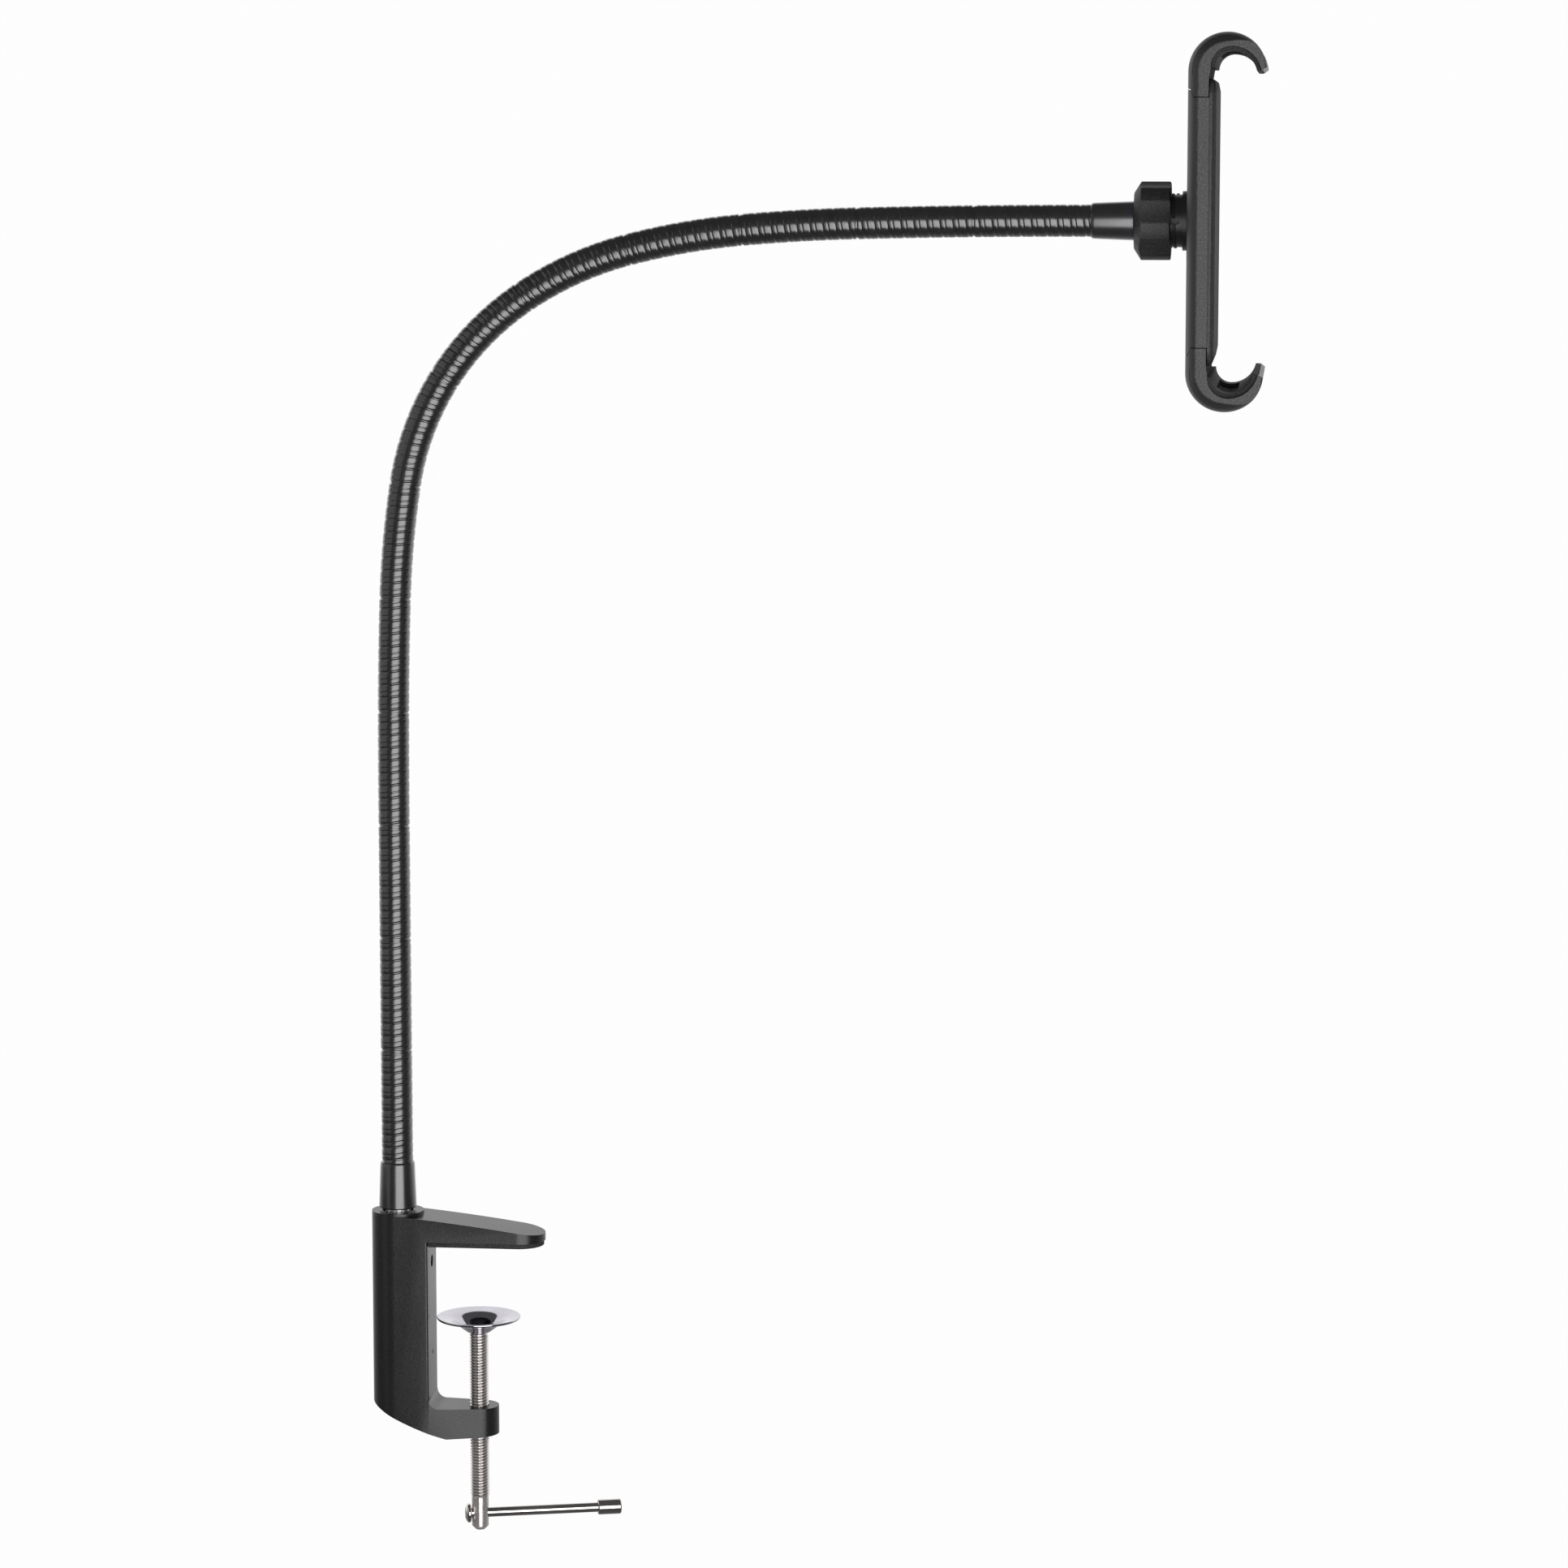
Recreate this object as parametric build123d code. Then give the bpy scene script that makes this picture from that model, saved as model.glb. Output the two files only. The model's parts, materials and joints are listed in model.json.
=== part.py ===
from build123d import *
import math
import os

# Tablet desk mount: screw clamp, flexible gooseneck arm, ball joint and spring-loaded tablet holder.
# Lengths are millimetres. The origin is on the clamp screw's axis, in the face of the pad that lies
# on the desk top. +Z is up, +X is the way the arm reaches, and the object is symmetric about Y = 0.

# Clamp frame, a casting with a round boss that holds the arm
ARM_TO_SCREW = 33.5
BOSS_DIAMETER = 21.6
BOSS_TOP = 13.5
TONGUE_START_TOP = 12.8
TONGUE_MIDDLE_TOP = 8.9
TONGUE_TIP_TOP = 4.9
TONGUE_MIDDLE_REACH = 35.8
TONGUE_REACH = 61.7
SPINE_DEPTH = 14.0
LOWER_JAW_TOP = -68.6
LOWER_JAW_THICKNESS = 12.8
LOWER_JAW_RISE = 1.1
LOWER_JAW_WIDTH = 16.4
HEEL_HEIGHT = 14.5
HEEL_REACH = 21.0
HEEL_MIDDLE_REACH = 4.2
HEEL_MIDDLE_HEIGHT = 6.25
INNER_CORNER_RADIUS = 4.0
SPINE_EDGE_RADIUS = 0.8
PAD_THICKNESS = 2.1
PAD_INSET = 0.6
RECESS_DIAMETER = 12.8
RECESS_DEPTH = 1.5
LOCATING_HOLE_DIAMETER = 1.8
LOCATING_HOLE_DEPTH = 6.0
LOCATING_HOLE_Z = -46.5

# Stud of the arm in the boss, and the screw that locks it
STUD_DIAMETER = 8.0
STUD_DEPTH = 28.0
STUD_COLLAR_DIAMETER = 10.6
STUD_COLLAR_HEIGHT = 2.4
STUD_COLLAR_TEETH = 12
LOCK_SCREW_DIAMETER = 5.0
LOCK_SCREW_Z = -7.9
LOCK_SCREW_RECESS = 0.8
LOCK_SCREW_HEX = 2.5
LOCK_SCREW_HEX_DEPTH = 2.5

# Clamping screw with its dish and tommy bar
SCREW_DIAMETER = 8.0
SCREW_NECK_DIAMETER = 7.0
SCREW_THREAD_LENGTH = 70.0
SCREW_NECK_LENGTH = 14.0
SCREW_TIP_RADIUS = 1.6
SPIGOT_DIAMETER = 4.6
RIVET_DIAMETER = 5.6
RIVET_TOP_DIAMETER = 3.9
RIVET_HEIGHT = 0.9
DISH_DIAMETER = 34.8
DISH_RIM_Z = -30.8
DISH_CUP_DIAMETER = 14.6
DISH_CUP_FLOOR_DIAMETER = 9.0
DISH_SLOPE_DROP = 2.6
DISH_DEPTH = 5.7
DISH_SHEET = 1.1
DISH_SHOULDER = 1.0
DISH_SHOULDER_DROP = 0.66
DISH_FLOOR_CORNER = 0.44
DISH_EDGE = 0.33
BAR_DIAMETER = 4.0
BAR_TURN_DEGREES = 15.5
BAR_TAIL = 4.0
BAR_REACH = 49.4
BAR_ABOVE_TIP = 6.9
BAR_HEAD_DIAMETER = 8.0
BAR_HEAD_CROWN_DIAMETER = 4.4
BAR_HEAD_CROWN = 0.9
BAR_HEAD_THICKNESS = 2.2
BAR_CAP_DIAMETER = 6.3
BAR_CAP_LENGTH = 9.8
BAR_CAP_WALL = 1.6
BAR_CAP_CHAMFER = 0.4

# Gooseneck arm: equal sections, each turned by its own angle from the clamp to the holder
SLEEVE_DIAMETER = 13.0
SLEEVE_VALLEY_DIAMETER = 12.2
CORE_DIAMETER = 9.6
KNUCKLE_DIAMETER = 6.4
KNUCKLE_LENGTH = 5.0
SECTION_LENGTH = 46.75
SECTION_TURNS_DEGREES = (0, 0, 0, 0.6, 1.6, 6.9, 23.9, 23.4, 19.0, 9.4, 3.7, 0.8, 0.7)
SECTION_BEND_DEGREES = 8.0
SIDE_BEND_EVERY = 3
RIBS_PER_SECTION = 9
RIB_FLANK = 0.7
RIB_GROOVE = 0.9

# Smooth ferrules that close the sleeve's two ends
LOWER_FERRULE_LENGTH = 19.5
UPPER_FERRULE_LENGTH = 17.6
FERRULE_GAP = 0.2
FERRULE_LARGE_DIAMETER = 15.6
FERRULE_SMALL_DIAMETER = 14.3
FERRULE_CHAMFER = 0.6
FERRULE_MOUTH_CHAMFER = 0.5
CORE_SOCKET_DEPTH = 7.0

# Ball joint and the collar nut that clamps it
BALL_DIAMETER = 15.0
BALL_FROM_FERRULE = 5.4
BALL_FLAT_GAP = 0.3
BALL_PIN_DIAMETER = 6.0
BALL_PIN_PAST_CENTRE = 2.6
CUP_WALL = 1.15
CUP_START = 4.5
SOCKET_LIP = 3.0
SOCKET_STEP = 2.7
SOCKET_DIAMETER = 20.9
SOCKET_CHAMFER = 1.2
SOCKET_SLOT_WIDTH = 2.7
SOCKET_SLOT_COUNT = 4
SLOT_TO_FLANGE = 1.0
FLANGE_DIAMETER = 23.6
FLANGE_THICKNESS = 2.6
BALL_TO_HOLDER = 16.0
NUT_DIAMETER = 31.1
NUT_LENGTH = 14.6
NUT_FACE_DIAMETER = 22.4
NUT_CHAMFER = 2.8
NUT_BACK_CHAMFER = 0.45
NUT_MOUTH_DIAMETER = 19.2
NUT_SHOULDER = 1.9
NUT_FROM_BALL = 5.8
NUT_LOBES = 6
NUT_SCOOP_DEPTH = 1.1
NUT_SCOOP_DEGREES = 34.0
NUT_SCOOP_PHASE_DEGREES = 15.0

# Tablet holder: moulded body, two sliding hooks, soft liners and pull-back springs
HOLDER_WIDTH = 100.0
BODY_DEPTH = 8.4
BACK_FLAT_WIDTH = 76.0
BACK_ROUND_DEPTH = 4.2
BACK_ROUND_SAG = 1.8
BODY_HALF_LENGTH = 48.2
SEAM_STEP = 3.2
SEAM_LIP = 1.0
SEAM_LIP_FALL = 0.4
SEAM_SLOPE = 1.2
SEAM_GAP = 0.3
BODY_WALL = 2.0
CHANNEL_WIDTH = 72.0
SLIDE_CLEARANCE = 0.3
SLIDE_THICKNESS = 4.0
SLIDE_IN_HOOK = 7.5
SLIDE_INNER_END = 4.0
SLIDE_BRIDGE = 4.5
SPRING_LANE = 11.0
SPRING_DIAMETER = 5.2
SPRING_WIRE = 0.8
SPRING_POST_DIAMETER = 5.0
HOOK_RADIUS = 15.2
HOOK_CENTRE_HEIGHT = 58.3
HOOK_LIP_RISE = 1.5
HOOK_LIP_BEVEL = 1.4
HOOK_FRONT_GAP = 0.3
HOOK_CORNER_RADIUS = 18.0
BOW_X = 16.85
BOW_TOP = 67.9
BOW_BACK_RADIUS = 8.15
BOW_FRONT_RADIUS = 11.7
LINER_THICKNESS = 1.75
LINER_GAP = 0.05
LINER_INSET = 2.5
LINER_WINDOW_START = 12.2
LINER_WINDOW_END = 20.3
LINER_WINDOW_WIDTH = 64.0
COVER_THICKNESS = 1.8
COVER_HALF_LENGTH = 55.5
COVER_WIDTH = 97.0
COVER_CORNER_RADIUS = 7.0
COVER_EDGE_BEVEL = 0.7
COVER_RAIL_SPACING = 44.0
COVER_RAIL_WIDTH = 3.0
COVER_RAIL_END = 44.0
FACE_PAD_THICKNESS = 0.9
FACE_PAD_INSET = 0.7
FACE_PAD_TAPER = 3.6
FACE_PAD_END_THICKNESS = 0.2
BODY_SCREW_SPACING_Y = 86.0
BODY_SCREW_SPACING_Z = 76.0
BODY_SCREW_DIAMETER = 2.6
BODY_SCREW_HEAD_DIAMETER = 4.8
BODY_SCREW_HEAD_DEPTH = 1.2
BODY_SCREW_LENGTH = 6.0
SOCKET_SCREW_CIRCLE = 15.0
SOCKET_SCREW_COUNT = 2
SOCKET_SCREW_DIAMETER = 2.6
SOCKET_SCREW_HEAD_DIAMETER = 4.6
SOCKET_SCREW_HEAD_THICKNESS = 1.1
SOCKET_SCREW_LENGTH = 5.0

# Named clearances, and how far a cutter passes what it cuts
SLIDING_FIT = 0.05
SEAT_GAP = 0.1
CUT_MARGIN = 1.0

# Worked out from the driving dimensions
ARM_X = -ARM_TO_SCREW
BOSS_RADIUS = BOSS_DIAMETER / 2
BACK_X = ARM_X - BOSS_RADIUS
SPINE_INNER_X = ARM_X + SPINE_DEPTH
TONGUE_TIP_X = ARM_X + TONGUE_REACH
LOWER_JAW_BOTTOM = LOWER_JAW_TOP - LOWER_JAW_THICKNESS
RECESS_FLOOR = BOSS_TOP - RECESS_DEPTH
LOWER_FERRULE_Z = RECESS_FLOOR + STUD_COLLAR_HEIGHT + FERRULE_GAP
SECTION_COUNT = len(SECTION_TURNS_DEGREES)
SCREW_TOP = DISH_RIM_Z - DISH_DEPTH - DISH_SHEET - SEAT_GAP
SCREW_THREAD_END = SCREW_TOP - SCREW_THREAD_LENGTH
SCREW_TIP = SCREW_THREAD_END - SCREW_NECK_LENGTH
BAR_Z = SCREW_TIP + BAR_ABOVE_TIP


def export(name, shape):
    """Write one node, named as a person would name the piece."""
    shape.label = name
    export_step(shape, f"parts/{name}.step")


def side_face(*edges):
    """A face in the XZ plane from edges drawn as (x, z)."""
    return Plane.XZ * make_face(edges)


def across(face, width):
    """A solid of a side face, spread equally to both sides of Y = 0."""
    return extrude(face, amount=width / 2, both=True)


def lathe(points, axis):
    """A solid turned about an axis from (radius, height) points drawn in the XZ plane."""
    return revolve(Plane.XZ * make_face(Polyline(*points, close=True)), axis)


def bar_frame():
    """Where the tommy bar crosses the screw: X along the bar."""
    return Location((0, 0, BAR_Z)) * Rotation(0, 0, BAR_TURN_DEGREES)


# Arm centreline

def section_frame(index, distance):
    """Plane across the arm at a distance along one section, with its X axis steady across the bend."""
    place = Vector(ARM_X, 0, LOWER_FERRULE_Z + LOWER_FERRULE_LENGTH)
    heading = 0.0
    for turn in SECTION_TURNS_DEGREES[:index]:
        place = place + arc_step(heading, turn, SECTION_LENGTH)
        heading += turn
    turn = SECTION_TURNS_DEGREES[index] * distance / SECTION_LENGTH
    place = place + arc_step(heading, turn, distance)
    return Plane(origin=place, x_dir=(0, 1, 0), z_dir=tangent(heading + turn))


def tangent(heading):
    """Direction of the centreline, its heading in degrees from straight up."""
    return Vector(math.sin(math.radians(heading)), 0, math.cos(math.radians(heading)))


def arc_step(heading, turn, length):
    """Chord from the start to the end of an arc of this length that turns by this many degrees."""
    half = math.radians(turn) / 2
    chord = length if half == 0 else length * math.sin(half) / half
    return tangent(heading + turn / 2) * chord


def section_path(index, start, end):
    """Centreline of one section between two distances, a line or an arc."""
    first = section_frame(index, start).origin
    last = section_frame(index, end).origin
    if SECTION_TURNS_DEGREES[index] == 0:
        return Line(first, last)
    return ThreePointArc(first, section_frame(index, (start + end) / 2).origin, last)


def round_rod(index, start, end, diameter):
    """A round rod along one section of the arm."""
    profile = section_frame(index, start) * Circle(diameter / 2)
    return sweep(profile, section_path(index, start, end))


JOINT_HALF_GAP = SLEEVE_VALLEY_DIAMETER / 2 * math.tan(math.radians(SECTION_BEND_DEGREES / 2)) + SLIDING_FIT


def arm_sleeve(index):
    """One section of the ribbed sleeve: a ruled loft over its ribs, with the bore cut out."""
    start = 0 if index == 0 else JOINT_HALF_GAP
    end = SECTION_LENGTH if index == SECTION_COUNT - 1 else SECTION_LENGTH - JOINT_HALF_GAP
    pitch = (end - start + RIB_GROOVE) / RIBS_PER_SECTION
    circles = []
    for rib in range(RIBS_PER_SECTION):
        foot = start + rib * pitch
        for offset, diameter in (
            (0, SLEEVE_VALLEY_DIAMETER),
            (RIB_FLANK, SLEEVE_DIAMETER),
            (pitch - RIB_GROOVE - RIB_FLANK, SLEEVE_DIAMETER),
            (pitch - RIB_GROOVE, SLEEVE_VALLEY_DIAMETER),
        ):
            circles.append(section_frame(index, foot + offset) * Circle(diameter / 2))
    return loft(circles, ruled=True) - round_rod(index, start, end, CORE_DIAMETER + 2 * SLIDING_FIT)


def arm_core(index):
    """One section of the steel core: a round knuckle at its far end turns in a seat in the next section."""
    last = index == SECTION_COUNT - 1
    start = 0 if index == 0 else JOINT_HALF_GAP
    end = SECTION_LENGTH if last else SECTION_LENGTH - JOINT_HALF_GAP
    core = round_rod(index, start, end, CORE_DIAMETER)
    if index == 0:
        core += extrude(section_frame(0, 0) * Circle(CORE_DIAMETER / 2), amount=-CORE_SOCKET_DEPTH)
    else:
        core -= knuckle(index, SLIDING_FIT)
    if last:
        top = section_frame(index, SECTION_LENGTH)
        core += extrude(top * Circle(CORE_DIAMETER / 2), amount=CORE_SOCKET_DEPTH)
    else:
        core += knuckle(index + 1, 0)
    return core


def knuckle(joint, clearance):
    """Knuckle on the axis of the joint before this section, or its seat: every third one bends sideways."""
    turn = (90, 0, 0) if joint % SIDE_BEND_EVERY == 0 else (0, 90, 0)
    rod = Cylinder(KNUCKLE_DIAMETER / 2 + clearance, KNUCKLE_LENGTH + 2 * clearance)
    return section_frame(joint, 0).location * Rotation(*turn) * rod


# Clamp

def clamp_frame():
    """Cast C-frame: half-round back, tapering top tongue, narrower lower jaw round the screw."""
    tip, jaw_end = TONGUE_TIP_X + CUT_MARGIN, LOWER_JAW_WIDTH / 2 + CUT_MARGIN
    profile = side_face(
        Line((BACK_X, TONGUE_START_TOP), (ARM_X, TONGUE_START_TOP)),
        ThreePointArc(
            (ARM_X, TONGUE_START_TOP),
            (ARM_X + TONGUE_MIDDLE_REACH, TONGUE_MIDDLE_TOP),
            (tip, TONGUE_TIP_TOP),
        ),
        Polyline(
            (tip, TONGUE_TIP_TOP),
            (tip, PAD_THICKNESS),
            (SPINE_INNER_X, PAD_THICKNESS),
            (SPINE_INNER_X, LOWER_JAW_TOP),
            (jaw_end, LOWER_JAW_TOP),
            (jaw_end, LOWER_JAW_BOTTOM + LOWER_JAW_RISE),
            (ARM_X + HEEL_REACH, LOWER_JAW_BOTTOM),
        ),
        ThreePointArc(
            (ARM_X + HEEL_REACH, LOWER_JAW_BOTTOM),
            (ARM_X + HEEL_MIDDLE_REACH, LOWER_JAW_BOTTOM + HEEL_MIDDLE_HEIGHT),
            (BACK_X, LOWER_JAW_BOTTOM + HEEL_HEIGHT),
        ),
        Line((BACK_X, LOWER_JAW_BOTTOM + HEEL_HEIGHT), (BACK_X, TONGUE_START_TOP)),
    )
    plan = Pos(0, 0, LOWER_JAW_BOTTOM) * tongue_plan(BOSS_DIAMETER)
    frame = across(profile, BOSS_DIAMETER) & extrude(plan, amount=BOSS_TOP - LOWER_JAW_BOTTOM)
    frame -= lower_jaw_trim()
    level_edges = frame.edges().filter_by(Axis.Y)
    corner = level_edges.filter_by(lambda edge: near(edge.center(), SPINE_INNER_X, LOWER_JAW_TOP))
    frame = fillet(corner, INNER_CORNER_RADIUS)
    frame -= spine_rounding()
    frame += Pos(ARM_X, 0, 0) * Cylinder(BOSS_RADIUS, BOSS_TOP, align=(Align.CENTER, Align.CENTER, Align.MIN))
    return frame - clamp_bores()


def tongue_plan(width):
    """Plan of the casting seen from above: a slot from the arm's axis to the tongue's round tip."""
    tip_centre = TONGUE_TIP_X - BOSS_RADIUS
    return Pos((ARM_X + tip_centre) / 2, 0) * SlotCenterToCenter(tip_centre - ARM_X, width)


def spine_rounding():
    """What is taken off the spine's two inner edges to round them."""
    radius, start = SPINE_EDGE_RADIUS, LOWER_JAW_TOP + INNER_CORNER_RADIUS
    chip = Rectangle(radius, radius, align=(Align.MAX, Align.MAX)) - Pos(-radius, -radius) * Circle(radius)
    cutter = extrude(Pos(SPINE_INNER_X, BOSS_RADIUS, start) * chip, amount=PAD_THICKNESS - start)
    return cutter + mirror(cutter, about=Plane.XZ)


def near(point, x, z):
    """True for a point at this x and z."""
    return abs(point.X - x) < 0.01 and abs(point.Z - z) < 0.01


def lower_jaw_trim():
    """What is taken off the sides of the lower jaw, which narrows from the spine to the screw."""
    back = Pos((BACK_X + ARM_X) / 2, 0) * Rectangle(BOSS_RADIUS, BOSS_DIAMETER)
    level = LOWER_JAW_TOP + INNER_CORNER_RADIUS
    block = Pos(ARM_X + TONGUE_REACH / 2, 0) * Rectangle(2 * TONGUE_REACH, 2 * BOSS_DIAMETER)
    return extrude(Pos(0, 0, level) * (block - jaw_plan() - back), amount=LOWER_JAW_BOTTOM - level)


def jaw_plan():
    """Plan of the lower jaw: as wide as the spine at its foot, with sides that touch its round end."""
    radius = LOWER_JAW_WIDTH / 2
    angle = math.atan2(BOSS_RADIUS, SPINE_INNER_X) - math.acos(radius / math.hypot(SPINE_INNER_X, BOSS_RADIUS))
    x, y = radius * math.cos(angle), radius * math.sin(angle)
    sides = Polyline(
        (x, y),
        (SPINE_INNER_X, BOSS_RADIUS),
        (ARM_X, BOSS_RADIUS),
        (ARM_X, -BOSS_RADIUS),
        (SPINE_INNER_X, -BOSS_RADIUS),
        (x, -y),
    )
    return make_face([sides, ThreePointArc((x, -y), (radius, 0), (x, y))])


def clamp_bores():
    """Bores of the casting: stud, its recess, lock screw, locating hole and clamping screw."""
    down = (Align.CENTER, Align.CENTER, Align.MAX)
    inside = SPINE_INNER_X + CUT_MARGIN
    stud = Cylinder(STUD_DIAMETER / 2 + SLIDING_FIT, STUD_DEPTH + SEAT_GAP, align=down)
    recess = Cylinder(RECESS_DIAMETER / 2, RECESS_DEPTH, align=down)
    lock = x_cylinder(LOCK_SCREW_DIAMETER / 2 + SLIDING_FIT, ARM_X, inside, LOCK_SCREW_Z)
    hole = x_cylinder(LOCATING_HOLE_DIAMETER / 2, SPINE_INNER_X - LOCATING_HOLE_DEPTH, inside, LOCATING_HOLE_Z)
    screw = Cylinder(SCREW_DIAMETER / 2 + SLIDING_FIT, LOWER_JAW_THICKNESS + 2 * CUT_MARGIN, align=down)
    screw = Pos(0, 0, LOWER_JAW_TOP + CUT_MARGIN) * screw
    return Pos(ARM_X, 0, BOSS_TOP) * (stud + recess) + lock + hole + screw


def x_cylinder(radius, start, end, z):
    """A cylinder along X between two x values, at this height and Y = 0."""
    return Pos((start + end) / 2, 0, z) * Rotation(0, 90, 0) * Cylinder(radius, end - start)


def jaw_pad():
    """Rubber pad under the tongue."""
    plan = tongue_plan(BOSS_DIAMETER - 2 * PAD_INSET)
    keep = Rectangle(TONGUE_REACH, BOSS_DIAMETER, align=(Align.MIN, Align.CENTER))
    return extrude(plan & (Pos(SPINE_INNER_X + SEAT_GAP, 0) * keep), amount=PAD_THICKNESS)


def arm_stud():
    """Stud that carries the arm in the boss, with a toothed collar that sits in the recess."""
    top = LOWER_FERRULE_Z + LOWER_FERRULE_LENGTH - CORE_SOCKET_DEPTH - SEAT_GAP
    bottom = BOSS_TOP - STUD_DEPTH
    upright = (Align.CENTER, Align.CENTER, Align.MIN)
    stud = Pos(ARM_X, 0, bottom) * Cylinder(STUD_DIAMETER / 2, top - bottom, align=upright)
    collar = Circle(STUD_COLLAR_DIAMETER / 2)
    notch = STUD_COLLAR_DIAMETER * math.pi / STUD_COLLAR_TEETH / 2
    collar -= PolarLocations(STUD_COLLAR_DIAMETER / 2, STUD_COLLAR_TEETH) * Rectangle(notch / 2, notch)
    return stud + extrude(Pos(ARM_X, 0, RECESS_FLOOR) * collar, amount=STUD_COLLAR_HEIGHT)


def lock_screw():
    """Hex-socket set screw that locks the stud."""
    end = SPINE_INNER_X - LOCK_SCREW_RECESS
    screw = x_cylinder(LOCK_SCREW_DIAMETER / 2, ARM_X + STUD_DIAMETER / 2, end, LOCK_SCREW_Z)
    screw -= Pos(ARM_X, 0, 0) * Cylinder(STUD_DIAMETER / 2 + SLIDING_FIT, 2 * STUD_DEPTH)
    hexagon = RegularPolygon(LOCK_SCREW_HEX / 2, 6, major_radius=False)
    socket = Plane.YZ.offset(end) * Pos(0, LOCK_SCREW_Z) * hexagon
    return screw - extrude(socket, amount=-LOCK_SCREW_HEX_DEPTH)


# Clamping screw

def pressure_dish():
    """Pressed steel dish: shallow conical rim, deep cup, hole for the screw's spigot."""
    rim, cup, floor = DISH_DIAMETER / 2, DISH_CUP_DIAMETER / 2, DISH_CUP_FLOOR_DIAMETER / 2
    hole = SPIGOT_DIAMETER / 2 + SLIDING_FIT
    slope = DISH_RIM_Z - DISH_SLOPE_DROP
    bottom = DISH_RIM_Z - DISH_DEPTH
    return lathe(
        (
            (rim - DISH_EDGE, DISH_RIM_Z),
            (cup, slope),
            (floor, bottom),
            (hole, bottom),
            (hole, bottom - DISH_SHEET),
            (floor + DISH_FLOOR_CORNER, bottom - DISH_SHEET),
            (cup + DISH_SHOULDER, slope - DISH_SHOULDER_DROP),
            (rim - DISH_EDGE, DISH_RIM_Z - DISH_SHEET),
            (rim, DISH_RIM_Z - DISH_SHEET + DISH_EDGE),
            (rim, DISH_RIM_Z - DISH_EDGE),
        ),
        Axis.Z,
    )


def clamp_screw():
    """Clamping screw: threaded shank, turned neck for the bar, spigot riveted over in the dish."""
    shank, neck = SCREW_DIAMETER / 2, SCREW_NECK_DIAMETER / 2
    spigot, rivet = SPIGOT_DIAMETER / 2, RIVET_DIAMETER / 2
    seat = DISH_RIM_Z - DISH_DEPTH + SEAT_GAP
    screw = lathe(
        (
            (0, SCREW_TIP),
            (neck - SCREW_TIP_RADIUS, SCREW_TIP),
            (neck, SCREW_TIP + SCREW_TIP_RADIUS),
            (neck, SCREW_THREAD_END),
            (shank, SCREW_THREAD_END),
            (shank, SCREW_TOP),
            (spigot, SCREW_TOP),
            (spigot, seat),
            (rivet, seat),
            (RIVET_TOP_DIAMETER / 2, seat + RIVET_HEIGHT),
            (0, seat + RIVET_HEIGHT),
        ),
        Axis.Z,
    )
    bore = bar_frame() * Rotation(0, 90, 0) * Cylinder(BAR_DIAMETER / 2 + SLIDING_FIT, 2 * SCREW_DIAMETER)
    return screw - bore


def along_bar(points):
    """A turned piece on the tommy bar's axis from (distance along the bar, radius) points."""
    face = make_face(Polyline(*points, close=True))
    return bar_frame() * revolve(Plane.XZ * face, Axis.X)


def tommy_bar():
    """Tommy bar, slid to its right-hand stop, with a domed head on the short end."""
    radius, head = BAR_DIAMETER / 2, BAR_HEAD_DIAMETER / 2
    end = BAR_REACH + BAR_CAP_LENGTH - BAR_CAP_WALL - SEAT_GAP
    return along_bar(
        (
            (-BAR_TAIL - BAR_HEAD_THICKNESS, 0),
            (-BAR_TAIL - BAR_HEAD_THICKNESS, BAR_HEAD_CROWN_DIAMETER / 2),
            (-BAR_TAIL - BAR_HEAD_THICKNESS + BAR_HEAD_CROWN, head),
            (-BAR_TAIL, head),
            (-BAR_TAIL, radius),
            (end, radius),
            (end, 0),
        )
    )


def bar_cap():
    """Cap pressed on the long end of the tommy bar."""
    bore, outer, end = BAR_DIAMETER / 2 + SLIDING_FIT, BAR_CAP_DIAMETER / 2, BAR_REACH + BAR_CAP_LENGTH
    return along_bar(
        (
            (BAR_REACH, bore),
            (BAR_REACH, outer - BAR_CAP_CHAMFER),
            (BAR_REACH + BAR_CAP_CHAMFER, outer),
            (end - BAR_CAP_CHAMFER, outer),
            (end, outer - BAR_CAP_CHAMFER),
            (end, 0),
            (end - BAR_CAP_WALL, 0),
            (end - BAR_CAP_WALL, bore),
        )
    )


# Ferrules

def ferrule(length, pin_diameter):
    """Smooth tapered ferrule, large end at z = 0, bored for the pin below and the core above."""
    large, small = FERRULE_LARGE_DIAMETER / 2, FERRULE_SMALL_DIAMETER / 2
    pin, core = pin_diameter / 2 + SLIDING_FIT, CORE_DIAMETER / 2 + SLIDING_FIT
    step = length - CORE_SOCKET_DEPTH
    return lathe(
        (
            (pin, 0),
            (large - FERRULE_MOUTH_CHAMFER, 0),
            (large, FERRULE_MOUTH_CHAMFER),
            (small, length - FERRULE_CHAMFER),
            (small - FERRULE_CHAMFER, length),
            (core, length),
            (core, step),
            (pin, step),
        ),
        Axis.Z,
    )


ARM_END = section_frame(SECTION_COUNT - 1, SECTION_LENGTH).origin
FERRULE_END_X = ARM_END.X + UPPER_FERRULE_LENGTH
BALL_X = FERRULE_END_X + BALL_FROM_FERRULE
HOLDER_X = BALL_X + BALL_TO_HOLDER
HOLDER_Z = ARM_END.Z


def lower_ferrule():
    """Ferrule between the boss and the sleeve."""
    return Pos(ARM_X, 0, LOWER_FERRULE_Z) * ferrule(LOWER_FERRULE_LENGTH, STUD_DIAMETER)


def upper_ferrule():
    """Ferrule between the sleeve and the ball joint."""
    upright = ferrule(UPPER_FERRULE_LENGTH, BALL_PIN_DIAMETER)
    return Pos(FERRULE_END_X, 0, HOLDER_Z) * Rotation(0, -90, 0) * upright


# Ball joint

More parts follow.
